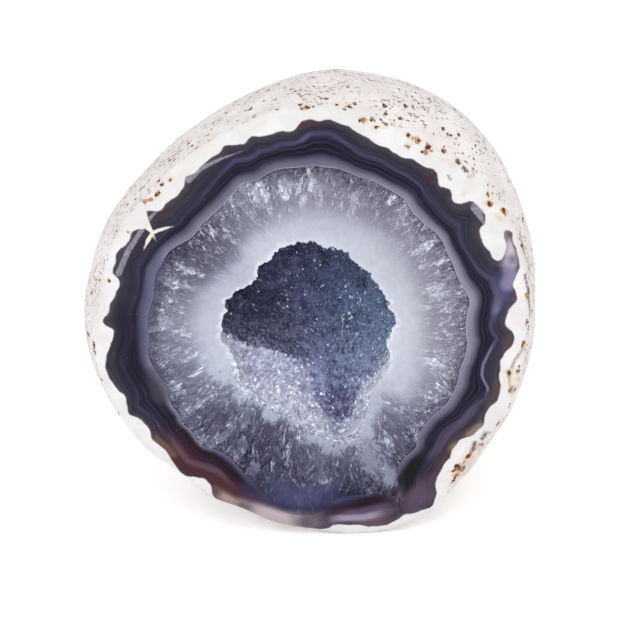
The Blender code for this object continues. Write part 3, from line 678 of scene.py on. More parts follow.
def ring_faces(first, count, second, after):
    """Faces between two neighbouring rings, of which the second may have half the points or one."""
    index = np.arange(count)
    ahead = (index + 1) % count
    if after == count:
        return np.stack([first + index, second + index, second + ahead, first + ahead], axis=1)
    if after == 1:
        tip = np.full(count, second)
        return np.stack([first + index, tip, first + ahead, first + ahead], axis=1)
    half = np.arange(after)
    one = first + 2 * half
    two = one + 1
    three = first + (2 * half + 2) % count
    near = second + half
    far = second + (half + 1) % after
    fans = [(one, near, two), (two, near, far), (two, far, three)]
    return np.concatenate([np.stack([a, b, c, c], axis=1) for a, b, c in fans])


def normals_of(points, faces):
    """Unit normal at each point."""
    one = points[faces[:, 2]] - points[faces[:, 0]]
    two = points[faces[:, 3]] - points[faces[:, 1]]
    across = np.cross(one, two)
    total = np.zeros_like(points)
    for corner in range(4):
        for axis in range(3):
            total[:, axis] += np.bincount(faces[:, corner], across[:, axis], len(points))
    return total / np.maximum(np.linalg.norm(total, axis=1, keepdims=True), 1e-12)


def scattered_pits(points, rng):
    """Random pits over the skin: place, half width and how rusty each is."""
    behind = points[:, 2]
    weight = np.where(behind > 1.2, 1.0, 0.0) * (0.4 + ease(-0.3, 0.6, lattice_noise(points, 9.0, 11)))
    weight = weight * (np.hypot(points[:, 0], points[:, 1]) + 1.0) * np.where(behind < 20.0, 0.75, 1.0)
    chosen = rng.choice(len(points), SMALL_PITS, replace=False, p=weight / weight.sum())
    half = 0.24 + 0.45 * rng.random(SMALL_PITS) ** 3
    rust = np.clip(rng.uniform(-0.6, 0.5, SMALL_PITS) + ease(9.0, 1.5, behind[chosen]), 0.0, 1.0)
    return points[chosen], half, rust


def clustered_pits(rng):
    """The larger pits with smaller ones beside them, as rows of place and half width."""
    chosen = np.array(PITS)
    for _ in range(2):
        turn = np.arctan2(chosen[:, 1], chosen[:, 0])
        along = chosen[:, 3] * rng.choice((-1.0, 1.0), len(turn)) * rng.uniform(0.7, 1.6, len(turn))
        outward = chosen[:, 3] * rng.uniform(-0.6, 0.6, len(turn))
        beside = chosen.copy()
        beside[:, 0] += outward * np.cos(turn) - along * np.sin(turn)
        beside[:, 1] += outward * np.sin(turn) + along * np.cos(turn)
        beside[:, 3] *= rng.uniform(0.35, 0.7, len(turn))
        chosen = np.concatenate([chosen, beside[: len(PITS)]])
    return chosen


def sink_pits(points):
    """Depth of the pits at each point, how near the nearest pit is and how rusty."""
    rng = np.random.default_rng(PIT_SEED)
    places, halves, rusts = scattered_pits(points, rng)
    larger = clustered_pits(rng)
    places = np.concatenate([larger[:, :3], places])
    halves = np.concatenate([larger[:, 3], halves])
    rusts = np.concatenate([np.ones(len(larger)), rusts])
    numbers = np.flatnonzero((np.hypot(points[:, 0], points[:, 1]) > 40.0) | (points[:, 2] > 1.0))
    tree = kdtree.KDTree(len(numbers))
    for number in numbers:
        tree.insert(points[number], int(number))
    tree.balance()
    depth = np.zeros(len(points))
    near = np.full(len(points), -PIT_REACH)
    rust = np.zeros(len(points))
    wobble = lattice_noise(points, 0.7, 12)
    for place, half, rusty in zip(places, halves, rusts):
        for _, number, apart in tree.find_range(place, half * 2.6):
            value = 1.0 - apart / (half * (0.9 + 0.5 * wobble[number]))
            near[number] = max(near[number], value)
            if value > 0.0:
                depth[number] = max(depth[number], half * 0.9 * math.sqrt(1.0 - (1.0 - value) ** 2))
            rust[number] = max(rust[number], rusty * min(1.0, max(0.0, (value + PIT_REACH) / 1.2)))
    return depth, near, rust


def agate_layers(points, inner, outer):
    """Place of each point among the agate's layers, which follow both the quartz and the rind."""
    degrees = turn_of(points)
    even = np.arange(360.0)
    thick = periodic(RIND_EDGE, even) - periodic(AGATE_EDGE, even)
    reach = 3 * THICKNESS_BLUR
    window = np.exp(-0.5 * (np.arange(-reach, reach + 1) / THICKNESS_BLUR) ** 2)
    closed = np.concatenate([thick[-reach:], thick, thick[:reach]])
    thick = np.convolve(closed, window / window.sum(), "valid")
    thick = np.interp(degrees, even, thick, period=360.0)
    depth = np.where(inner > 0.0, thick * inner / np.maximum(inner + np.maximum(-outer, 0.0), 1e-3), inner)
    first = periodic(LAVENDER_LAYER, degrees)
    turns, *rest = zip(*VIOLET_BAND)
    at, half, strength = (np.interp(degrees, turns, row, period=360.0) for row in rest)
    at = np.clip(at, first + 1.0, np.maximum(thick - 1.0, first + 1.2))
    layer = np.where(depth < first, depth / first, 1.0 + (depth - first) / (at - first))
    layer = np.where(depth > at, 2.0 + (depth - at) / np.maximum(thick - at, 0.8), layer)
    layer = np.clip(layer, -5.0, AGATE_SHADES[-1][0])
    return {"depth": depth, "layer": layer, "violet": (depth - at) / half, "glow": strength}


def stained(strokes, places):
    """Colour and strength of painted strokes at each place."""
    covered = np.full(len(places), 1e-6)
    mixed = np.zeros((len(places), 3))
    for line, half, soft, shade, strength in strokes:
        weight = strength * np.exp(-((np.maximum(from_line(line, places) - half, 0.0) / soft) ** 2))
        ends = np.array(line)
        length = np.linalg.norm(np.diff(ends, axis=0), axis=1).sum()
        if length > 6.0:
            fade = min(5.0, 0.4 * length)
            for end in (ends[0], ends[-1]):
                weight = weight * (0.1 + 0.9 * ease(0.0, fade, np.linalg.norm(places - end, axis=1)))
        mixed = mixed * (1.0 - weight)[:, None] + weight[:, None] * np.array(colour(*shade)[:3])
        covered = covered * (1.0 - weight) + weight
    return np.maximum(mixed / covered[:, None] - FACE_SHEEN, DARKEST), covered


def stone_values(points):
    """What the looks of the stone need to know about each point."""
    behind = points[:, 2]
    degrees = turn_of(points)
    turn = np.radians(degrees)
    radius = np.hypot(points[:, 0], points[:, 1])
    agate = from_curve(AGATE_EDGE, points)
    rind = from_curve(RIND_EDGE, points) + 0.9 * np.maximum(behind - FACE_PLANE, 0.0)
    rind = np.maximum(rind, inside_strokes((WHITE_PATCH,), points))
    milk = from_curve(MILK_EDGE, points)
    stain, stain_strength = stained(STAINS, points[:, :2])
    scar, scar_strength = stained(SCARS, seen_from_front(points))
    pale = periodic(MILK_TONE, degrees) + 12.0 * ease(-2.0, -7.0, milk) - 34.0 * ease(31.0, 40.0, radius)
    grey = periodic(GREY_TONE, degrees) - 2.6 * np.clip(milk, 0.0, 8.0)
    grey = grey + ease(-4.0, -0.3, agate) * (periodic(EDGE_TONE, degrees) - grey)
    return {
        "behind": behind,
        "rind": rind,
        "mark": inside_strokes(WHITE_MARKS, points),
        "grey": inside_strokes(GREY_MARKS, points),
        "streak": inside_strokes(WHITE_STREAKS, points),
        "agate": agate,
        **agate_layers(points, agate, rind),
        "stain": stain,
        "stained": stain_strength * ease(2.5, 0.8, behind),
        "scar": scar,
        "scarred": scar_strength * ease(9.0, 5.0, behind),
        "milk": np.minimum(milk, -inside_strokes((MILKY_RAY,), points)),
        "lip": radius - mouth(degrees),
        "low": np.clip(periodic(QUARTZ_SHADE, degrees), 0.0, 1.0),
        "lip_white": np.clip(periodic(LIP_WHITE, degrees), 0.0, 1.0),
        "milk_tone": pale / 255.0,
        "grey_tone": grey / 255.0,
        "first_tone": periodic(LAVENDER_TONE, degrees) / 255.0,
        "spoke": np.stack([np.cos(turn), np.sin(turn), radius / SPOKE_LENGTH], axis=1),
    }


def build_stone():
    """The stone's surface: points, faces, row of every face, the seam's row, and values for its looks."""
    rings, seam = stone_rings()
    starts = np.concatenate([[0], np.cumsum([len(ring) for ring in rings])])
    points = np.concatenate(rings)
    blocks = [
        ring_faces(starts[row], len(ring), starts[row + 1], len(after))
        for row, (ring, after) in enumerate(zip(rings[:-1], rings[1:]))
    ]
    faces = np.concatenate(blocks)
    rows = np.repeat(np.arange(len(blocks)), [len(block) for block in blocks])

    placed = to_row(points) * 1000.0
    depth, near, rust = sink_pits(points)
    worn = ease(EDGE_WIDTH * 0.4, 2.5, points[:, 2])
    skin_drop = 0.06 * ease(FACE_PLANE, 0.4, points[:, 2])
    lumps = 0.10 + 0.10 * (1.0 + lattice_noise(points, 7.0, 13))
    lumps = lumps + 0.05 * (1.0 + lattice_noise(points, 2.2, 14))
    placed = placed - normals_of(placed, faces) * (depth + skin_drop + lumps * worn)[:, None]
    placed[:, 2] = np.maximum(placed[:, 2], 0.0)
    return placed, faces, rows, seam, {"pit": near, "rust": rust, **stone_values(points)}


def add_layer(mesh, name, domain, value):
    """Numbers or vectors for every point or face of a mesh."""
    kind, field = ("FLOAT", "value") if value.ndim == 1 else ("FLOAT_VECTOR", "vector")
    layer = mesh.attributes.new(name, kind, domain)
    layer.data.foreach_set(field, value.astype(np.float32).ravel())


def mesh_object(name, placed, faces, values, material, smooth=True):
    """Object from points in millimetres and faces, with its values as attributes."""
    used = np.unique(faces)
    faces = np.searchsorted(used, faces)
    mesh = bpy.data.meshes.new(name)
    lists = [row[:3] if row[3] == row[2] else row for row in faces.tolist()]
    mesh.from_pydata((placed[used] * 0.001).tolist(), [], lists)
    mesh.materials.append(material)
    for key, value in values.items():
        add_layer(mesh, key, "POINT", value[used])
    if smooth:
        mesh.shade_smooth()
    return linked(name, mesh)


def crystal_size(points):
    """Spacing of the crystals: larger on the ledge and by the rim."""
    pale = ease(-0.8, 1.2, outside_shape(DEEP_EDGE, seen_from_front(points)))
    return CRYSTAL_SPACING * (1.0 + 0.15 * pale)


def sow(table, draws, inset, seed):
    """Evenly scattered places on the crust, as directions and steps."""
    rng = np.random.default_rng(seed)
    around = np.arange(0.0, 360.0, SOW_TURN)
    steps = np.linspace(0.0, 1.0, SOW_STEPS + 1)
    grid = hollow_even(table, around[:, None], steps[None, :], inset, True)
    side = np.linalg.norm(np.roll(grid, -1, axis=0) - grid, axis=2)[:, :-1]
    down = np.linalg.norm(np.diff(grid, axis=1), axis=2)
    share = np.cumsum((side * down).ravel())
    drawn = rng.random((draws, 3))
    row, column = np.divmod(np.searchsorted(share / share[-1], drawn[:, 0]), SOW_STEPS)
    directions = (around[row] + SOW_TURN * drawn[:, 1]) % 360.0
    places = steps[column] + drawn[:, 2] / SOW_STEPS
    points = hollow_even(table, directions, places, inset, True)
    sizes = crystal_size(points) * rng.uniform(*CRYSTAL_SIZES, draws)

    # A place is kept if no kept one is nearer than its size
    keys = np.floor(points / (1.45 * CRYSTAL_SPACING)).astype(int)
    near = [(a - 1, b - 1, c - 1) for a, b, c in np.ndindex(3, 3, 3)]
    taken = {}
    kept = []
    for number, (key, point, size) in enumerate(zip(keys.tolist(), points.tolist(), sizes.tolist())):
        if places[number] < SOW_START:
            continue
        beside = (other for a, b, c in near for other in taken.get((key[0] + a, key[1] + b, key[2] + c), ()))
        if all(sum((one - two) ** 2 for one, two in zip(point, other)) >= size * size for other in beside):
            taken.setdefault(tuple(key), []).append(point)
            kept.append(number)
    return directions[kept], places[kept], sizes[kept]


def disc(direction, step):
    """Flat map of the crust: its middle at the origin, its rim on the unit circle."""
    radius = np.expm1(DISC_SWELL * (1.0 - np.asarray(step, float))) / math.expm1(DISC_SWELL)
    return polar(direction, radius, 0.0)[..., :2]


def undisc(points):
    """Direction and step of places on the flat map."""
    radius = np.minimum(1.0, np.hypot(points[:, 0], points[:, 1]))
    return turn_of(points), 1.0 - np.log1p(radius * math.expm1(DISC_SWELL)) / DISC_SWELL


def unit(vectors):
    """Vectors of length 1."""
    return vectors / np.maximum(np.linalg.norm(vectors, axis=1, keepdims=True), 1e-9)


def lifted(table, directions, steps, lifts, sways):
    """Points over the crust, lifted off it and leaning sideways."""
    steps = np.clip(steps, 0.0, 0.995)
    at, aside, ahead = (
        hollow_even(table, directions + turn, steps + step, CRUST_THICKNESS, True)
        for turn, step in ((0.0, 0.0), (SLOPE_TURN, 0.0), (0.0, SLOPE_STEP))
    )
    one = unit(aside - at)
    two = unit(ahead - at)
    out = unit(np.cross(two, one))
    towards = np.array([HOLLOW_CENTRE[0], HOLLOW_CENTRE[1], 0.0]) - at
    out = np.where(((out * towards).sum(axis=1) < 0.0)[:, None], -out, out)
    raised = at + lifts[:, None] * (out + sways[:, :1] * one + sways[:, 1:] * two)
    raised[:, 2] = np.maximum(raised[:, 2], CRUST_FRONT)
    return raised


def crust_facets(triangles, first_valley):
    """Faces of the crystals, one to either side of each edge between two, and the crystal each is on."""
    ends = np.concatenate([triangles[:, [0, 1]], triangles[:, [1, 2]], triangles[:, [2, 0]]])
    valley = first_valley + np.tile(np.arange(len(triangles)), 3)
    low, high = ends.min(axis=1), ends.max(axis=1)
    order = np.lexsort((high, low))
    low, high, valley = low[order], high[order], valley[order]
    paired = np.flatnonzero((low[:-1] == low[1:]) & (high[:-1] == high[1:]))
    one, two = valley[paired], valley[paired + 1]
    alone = np.ones(len(low), bool)
    alone[paired] = False
    alone[paired + 1] = False
    faces = (
        (low[paired], one, two, two),
        (high[paired], two, one, one),
        (low[alone], high[alone], valley[alone], valley[alone]),
    )
    crystal = np.concatenate([corners[0] for corners in faces])
    return np.concatenate([np.stack(corners, axis=1) for corners in faces]), crystal


def crust_back(border, start):
    """Plain back of the crust beside the wall: its points, the first of them number start, and its faces."""
    table = spread(CRUST_GAP, False)
    rings = []
    for index in range(BACK_RINGS):
        ring = hollow_even(table, border, np.full(CRUST_AROUND, index / BACK_RINGS), CRUST_GAP, False)
        ring[:, 2] = np.maximum(ring[:, 2], RIM_DROP)
        rings.append(ring)
    rings.append(hollow(np.array([0.0]), np.array([1.0]), CRUST_GAP, False))
    blocks = [ring_faces(0, CRUST_AROUND, start, CRUST_AROUND)]
    for ring in rings[1:]:
        blocks.append(ring_faces(start, CRUST_AROUND, start + CRUST_AROUND, len(ring)))
        start += CRUST_AROUND
    return np.concatenate(rings), np.concatenate(blocks)


def build_crust(material):
    """The crust as one closed piece: crystals in front, a plain back beside the wall."""
    table = spread(CRUST_THICKNESS, True)
    directions, steps, sizes = sow(table, CRYSTAL_DRAWS, CRUST_THICKNESS, SOW_SEED)
    border = np.arange(CRUST_AROUND) * 360.0 / CRUST_AROUND
    flat = np.concatenate([disc(border, np.zeros(CRUST_AROUND)), disc(directions, steps)])
    ring = [(index, (index + 1) % CRUST_AROUND) for index in range(CRUST_AROUND)]
    found = geometry.delaunay_2d_cdt([tuple(point) for point in flat], ring, [], 1, 1e-9)
    origin = np.array([given[0] for given in found[3]])
    triangles = origin[np.array([tuple(face) for face in found[2]])]

    # Rim, tips of the crystals, and valleys between them
    rng = np.random.default_rng(CRYSTAL_SEED)
    count = len(directions)
    lifts = sizes * rng.uniform(*TIP_HEIGHTS, count)
    tips = lifted(table, directions, steps, lifts, rng.uniform(-TIP_SWAY, TIP_SWAY, (count, 2)))
    rim = hollow(border, np.zeros(CRUST_AROUND), CRUST_THICKNESS, True)
    rim[:, 2] = RIM_DROP
    number = len(triangles)
    valleys = lifted(table, *undisc(flat[triangles].mean(axis=1)), np.zeros(number), np.zeros((number, 2)))
    front, crystal = crust_facets(triangles, CRUST_AROUND + count)
    back_points, back = crust_back(border, CRUST_AROUND + count + number)
    points = np.concatenate([rim, tips, valleys, back_points])
    faces = np.concatenate([front, back])

    # Which part of the hollow a point lies in
    seen = seen_from_front(points)
    values = {
        "pale": outside_shape(DEEP_EDGE, seen),
        "half_lit": from_line(HALF_LIT, seen),
        "across": seen[:, 0],
        "up": seen[:, 1],
        "behind": points[:, 2],
    }
    made = mesh_object("crystal_crust_fine", to_row(points) * 1000.0, faces, values, material, smooth=False)

    # Brightness of each crystal, and its chance of a painted glint (a highlight put into its base colour), as
    # a whole or by one facet
    tones, lucky = rng.random(len(points)), rng.random(len(points))
    lit = np.where(rng.random(len(crystal)) < PAINTED_GLINT_TOGETHER, lucky[crystal], 0.0)
    lit = np.maximum(lit, PAINTED_GLINT_ALONE * rng.random(len(crystal)))
    add_layer(made.data, "tone", "FACE", np.concatenate([tones[crystal], np.full(len(back), 0.5)]))
    add_layer(made.data, "painted_glint", "FACE", np.concatenate([lit, np.zeros(len(back))]))
    return made


class Look:
    """Short calls that build one material. Each returns an output socket."""

    def __init__(self, name, sheen=0.0):
        self.material = bpy.data.materials.new(name)
        self.material.use_nodes = True
        self.tree = self.material.node_tree
        self.shader = self.tree.nodes["Principled BSDF"]
        self.sheen = sheen

    def put(self, socket, value):
        """Link a socket, or set its value. A colour of three parts, of 0 to 255, is painted."""
        if isinstance(value, bpy.types.NodeSocket):
            self.tree.links.new(value, socket)
        else:
            painted = socket.type == "RGBA" and len(value) == 3
            socket.default_value = self.paint(value) if painted else value

    def paint(self, shade):
        """Colour for a surface whose gloss already adds some light."""
        return tuple(max(DARKEST, value - self.sheen) for value in colour(*shade)[:3]) + (1.0,)

    def finish(self, **values):
        """Fill in the shader's own sockets, with _ for a space in their names."""
        for name, value in values.items():
            self.put(self.shader.inputs[name.replace("_", " ")], value)
        return self.material

    def node(self, kind, *values, **settings):
        """New node with its settings and its first sockets filled in."""
        made = self.tree.nodes.new("ShaderNode" + kind)
        for name, value in settings.items():
            setattr(made, name, value)
        for socket, value in zip(made.inputs, values):
            self.put(socket, value)
        return made

    # Values of the mesh, vectors and places

    def value(self, name, output="Fac"):
        """Value that the mesh keeps for each point or face."""
        return self.node("Attribute", attribute_name=name).outputs[output]

    def vector(self, name, scale):
        """Vector that the mesh keeps, times a scale for each axis."""
        return self.scaled(self.value(name, "Vector"), scale)

    def place(self, scale):
        """Place on the object in millimetres, times one scale or three."""
        across = tuple(1000.0 * each for each in (scale if isinstance(scale, tuple) else (scale,) * 3))
        return self.scaled(self.node("TexCoord").outputs["Object"], across)

    def vectors(self, operation, *values):
        """Sum of vectors."""
        return self.node("VectorMath", *values, operation=operation).outputs[0]

    def scaled(self, vector, scale):
        """Vector times a scale for each axis."""
        return self.vectors("MULTIPLY", vector, scale)

    def shifted(self, vector, amount, strength):
        """Vector pushed aside by another one, such as noise."""
        centred = self.vectors("SUBTRACT", amount, (0.5,) * 3)
        return self.vectors("MULTIPLY_ADD", centred, (strength,) * 3, vector)

    def stacked(self, name, size, value, step):
        """The first two parts of a vector, with a value as the third."""
        third = self.node("CombineXYZ", 0.0, 0.0, self.times(value, step))
        return self.vectors("ADD", self.vector(name, (size, size, 0.0)), third.outputs[0])

    def axis(self, vector, index):
        """One part of a vector."""
        return self.node("SeparateXYZ", vector).outputs[index]

    def part(self, shade, index):
        """One part of a colour."""
        return self.node("SeparateColor", shade).outputs[index]

    # Sums

    def sum(self, operation, *values):
        """Sum of numbers."""
        return self.node("Math", *values, operation=operation).outputs[0]

    def times(self, first, *factors):
        """Product of two values or more."""
        for factor in factors:
            first = self.sum("MULTIPLY", first, factor)
        return first

    def less(self, first, second):
        """First value less the second."""
        return self.sum("SUBTRACT", first, second)

    def plus(self, total, value, strength=1.0):
        """Total plus a value times a strength."""
        return self.sum("MULTIPLY_ADD", value, strength, total)

    def add(self, total, value, strength, middle=0.5):
        """Total plus how far a value lies from its middle, times a strength."""
        return self.plus(total, self.less(value, middle), strength)

    def between(self, amount, first, second):
        """Value between two others."""
        return self.plus(first, self.less(second, first), amount)

    def range(self, value, low, high, to_low=0.0, to_high=1.0, kind="LINEAR"):
        """Straight mapping of a value, kept within its limits."""
        limits = (value, low, high, to_low, to_high)
        return self.node("MapRange", *limits, interpolation_type=kind).outputs[0]

    def step(self, value, low, high, to_low=0.0, to_high=1.0):
        """Smooth step of a value between low and high."""
        return self.range(value, low, high, to_low, to_high, "SMOOTHSTEP")

    def fade(self, value, to_low, to_high):
        """Straight mapping of a value between 0 and 1."""
        return self.range(value, 0.0, 1.0, to_low, to_high)

    # Patterns

    def noise(self, vector, detail=2.0, roughness=0.5, output="Fac"):
        """Soft noise, about one bump for each unit."""
        node = self.node("TexNoise", vector)
        for name, value in (("Scale", 1.0), ("Detail", detail), ("Roughness", roughness)):
            node.inputs[name].default_value = value
        return node.outputs[output]

    def voronoi(self, vector):
        """All outputs of a pattern of cells, about one for each unit."""
        node = self.node("TexVoronoi", vector)
        node.inputs["Scale"].default_value = 1.0
        return node.outputs

    def cells(self, vector):
        """Cells: the distance to the nearest middle and the cell's random colour."""
        outputs = self.voronoi(vector)
        return outputs["Distance"], outputs["Color"]

    def random(self, vector):
        """Random value of the cell that a place lies in."""
        return self.part(self.cells(vector)[1], 0)

    def grains(self, spokes, across, along, lean):
        """Crystals along the spokes: place inside each, leaning at random, and a random value."""
        at = self.scaled(spokes, (across, across, along))
        outputs = self.voronoi(at)
        aside = self.vectors("CROSS_PRODUCT", outputs["Position"], at)
        ahead = self.vectors("SUBTRACT", at, outputs["Position"])
        middle = self.node(
            "CombineXYZ",
            self.times(self.axis(aside, 2), GRAIN_WIDTH / across**2),
            self.times(self.axis(ahead, 2), GRAIN_LENGTH / along),
            self.times(self.part(outputs["Color"], 1), GRAIN_APART),
        )
        turned = self.node("VectorRotate", rotation_type="Z_AXIS")
        self.put(turned.inputs["Vector"], middle.outputs[0])
        self.put(turned.inputs["Angle"], self.times(self.less(self.part(outputs["Color"], 0), 0.5), lean))
        return turned.outputs[0], self.part(outputs["Color"], 2)

    # Colours

    def ramp(self, value, stops):
        """Colour along a value, from stops of (value, colour)."""
        low, high = stops[0][0], stops[-1][0]
        node = self.node("ValToRGB", self.range(value, low, high))
        elements = node.color_ramp.elements
        elements.remove(elements[1])
        elements[0].position = 0.0
        elements[0].color = self.paint(stops[0][1])
        for at, shade in stops[1:]:
            elements.new((at - low) / (high - low)).color = self.paint(shade)
        return node.outputs[0]

    def mix(self, amount, first, second):
        """Colour between two others."""
        node = self.node("Mix", data_type="RGBA")
        self.put(node.inputs["Factor"], amount)
        shades = [socket for socket in node.inputs if socket.type == "RGBA"]
        self.put(shades[0], first)
        self.put(shades[1], second)
        return next(socket for socket in node.outputs if socket.type == "RGBA")

    def over(self, shade, *layers):
        """Shade with layers over it, each an amount and a colour."""
        for amount, layer in layers:
            shade = self.mix(amount, shade, layer)
        return shade

    def bump(self, height, strength, distance):
        """Normal tilted by a height in millimetres."""
        node = self.node("Bump")
        for name, value in (("Strength", strength), ("Distance", distance * 0.001), ("Height", height)):
            self.put(node.inputs[name], value)
        return node.outputs[0]


def small_pits(look, cell, keep):
    """Small pits, one in some cells of a 3-D pattern and longer round the nodule: mask and random value."""
    wander = look.noise(look.place(1.1), 1.0, output="Color")
    apart, shade = look.cells(look.shifted(look.place((1.0 / cell, 3.4 / cell, 1.0 / cell)), wander, 0.6))
    chance = look.part(shade, 0)
    size = look.times(look.range(chance, keep, 1.0, 0.12, 0.46), look.step(chance, keep, keep + 0.01))
    patch = look.noise(look.place(0.12), 1.0)
    size = look.plus(size, look.range(patch, 0.4, 0.56, -0.2, 0.0))
    return look.step(look.less(size, apart), -0.03, 0.05), look.part(shade, 1)


def rind_look(look):
    """Colour and height of the chalky rind with its pits."""
    behind = look.value("behind")
    outside = look.step(behind, 0.3, 2.6)
    clouds = look.noise(look.place(0.16), 3.0)
    grain = look.noise(look.place(1.6), 3.0, 0.65)
    earthy = look.step(look.noise(look.place(0.05), 4.0, 0.6), 0.46, 0.66, 0.0, 0.6)
    chalk = look.over(
        look.mix(look.step(clouds, 0.35, 0.68), (236, 230, 229), (247, 244, 243)),
        (look.range(grain, 0.35, 0.75, 0.0, 0.25), (220, 210, 210)),
        (look.times(look.step(behind, 8.0, 24.0), earthy), (228, 214, 200)),
    )
    polished = look.mix(look.step(clouds, 0.38, 0.65), (235, 232, 232), (243, 241, 242))

    # Faint rusty stains near the rim, and the painted scars
    rust = look.value("rust")
    stain = look.noise(look.place(0.7), 3.0, 0.6)
    broken = look.step(look.noise(look.place(1.3), 2.0, 0.6), 0.36, 0.5, 0.5, 1.0)
    shade = look.over(
        look.mix(outside, polished, chalk),
        (look.times(rust, look.step(stain, 0.5, 0.64, 0.0, 0.6)), (232, 204, 168)),
        (look.times(look.value("scarred"), broken), look.value("scar", "Color")),
    )

    # Pits, larger ones from the mesh and finer ones from the pattern
    worn = look.add(look.value("pit"), look.noise(look.place(1.9), 2.0, 0.6), 1.1)
    hole = look.step(worn, -0.02, 0.14)
    core = look.step(look.add(worn, look.noise(look.place(1.1), 1.0), 2.4), 0.26, 0.46)
    first, one = small_pits(look, 1.9, 0.5)
    second, two = small_pits(look, 1.15, 0.6)
    fine = look.times(look.sum("MAXIMUM", first, second), look.step(behind, 0.4, 1.6))
    warm = look.add(look.step(rust, 0.1, 0.9), stain, 3.0)
    rosy = look.plus(look.plus(look.times(two, 0.5), one, 0.5), rust, 0.3)
    shade = look.over(
        shade,
        (look.times(hole, 0.94), look.mix(look.step(warm, 0.5, 1.2), (146, 110, 90), (218, 166, 116))),
        (look.times(core, 0.92), (96, 48, 32)),
        (
            look.times(fine, look.fade(two, 0.55, 0.95)),
            look.mix(look.step(rosy, 0.25, 0.8), (88, 74, 70), (176, 122, 90)),
        ),
    )
    height = look.plus(look.times(grain, 0.2), look.sum("MAXIMUM", hole, fine), -0.35)
    return shade, height, outside


def quartz_look(look):
    """Colour of the quartz: milky by the hollow, then grey crystals that grow along the spokes."""
    low = look.value("low")
    deep = look.step(low, 0.25, 0.85)
    warp = look.noise(look.place(0.13), 1.0, output="Color")
    spokes = look.shifted(look.vector("spoke", (1.0, 1.0, 1.0)), warp, 0.01)
    inside, block = look.grains(spokes, 13.0, 19.0, 1.0)
    shard = look.random(look.scaled(inside, (2.3, 1.0, 1.0)))
    needle = look.random(look.scaled(inside, (4.2, 0.4, 1.0)))
    apart, shades = look.cells(look.place(3.3))
    chip = look.part(shades, 0)
    broad = look.noise(look.place(0.28), 2.0, 0.6)
    cloudy = look.noise(look.place(0.7), 2.0, 0.6)
    agate = look.value("agate")
    near = look.step(agate, -6.0, -1.0)

    # Crystals of grey reach into the milk
    milk = look.add(look.add(look.value("milk"), broad, 4.0), cloudy, 2.5)
    milk = look.add(milk, block, look.fade(deep, 1.0, 2.4))
    milk = look.add(milk, shard, look.fade(deep, 0.9, 1.8))
    milk = look.sum("DIVIDE", milk, look.fade(deep, 2.8, 1.1))
    tone = look.between(look.step(milk, -1.0, 1.0), look.value("milk_tone"), look.value("grey_tone"))
    tone = look.add(look.add(tone, broad, 0.08), cloudy, 0.10)

    # Angular crystals, each with its own grey, and calm glassy patches between busy ones
    change = look.add(0.0, block, 0.06)
    change = look.add(change, shard, look.times(look.fade(near, 0.10, 0.15), look.fade(deep, 1.0, 0.5)))
    change = look.add(change, needle, look.fade(deep, 0.08, 0.17))
    change = look.add(change, chip, look.fade(near, 0.10, 0.19))
    veil = look.times(look.range(look.axis(inside, 0), -1.0, 1.0), look.step(block, 0.74, 0.75))
    bright = look.times(look.step(shard, 0.88, 0.92), look.step(broad, 0.44, 0.56))
    spine = look.times(look.step(needle, 0.84, 0.92), look.step(cloudy, 0.44, 0.56))
    speck = look.times(look.step(chip, 0.93, 0.95), look.step(apart, 0.55, 0.25))
    change = look.plus(change, veil, 0.15)
    change = look.plus(change, bright, look.fade(deep, 0.13, 0.06))
    change = look.plus(change, spine, look.fade(deep, 0.12, 0.2))
    change = look.plus(change, speck, look.fade(near, 0.08, 0.32))
    change = look.times(change, look.step(look.add(cloudy, broad, 0.8), 0.38, 0.62, 0.6, 1.1))
    streak = look.add(look.add(look.value("streak"), cloudy, 3.0), shard, 1.4)
    change = look.plus(change, look.step(streak, -0.5, 0.6), 0.18)
    change = look.plus(change, look.step(agate, -0.45, -0.15), -0.1)
    change = look.less(change, look.fade(deep, 0.02, 0.025))
    clear = look.step(milk, -0.6, look.fade(deep, 2.2, 1.2))
    tone = look.plus(tone, look.times(change, clear), look.step(look.value("stained"), 1.0, 0.0, 0.45, 1.0))

    # White lip, and crystals cut open where the crust comes up to the face
    lip = look.value("lip")
    ragged = look.step(look.add(lip, cloudy, 5.0), 1.2, 0.1)
    tone = look.plus(tone, look.times(ragged, look.value("lip_white")), 0.12)
    beside = look.times(look.step(lip, 2.4, 0.2), look.step(low, 0.6, 0.9))
    tone = look.add(tone, look.random(look.place(2.3)), look.times(beside, 0.4), 0.45)
    upper, lower = (look.ramp(tone, [(row[0], row[half]) for row in QUARTZ_SHADES]) for half in (1, 2))
    return look.mix(low, upper, lower)


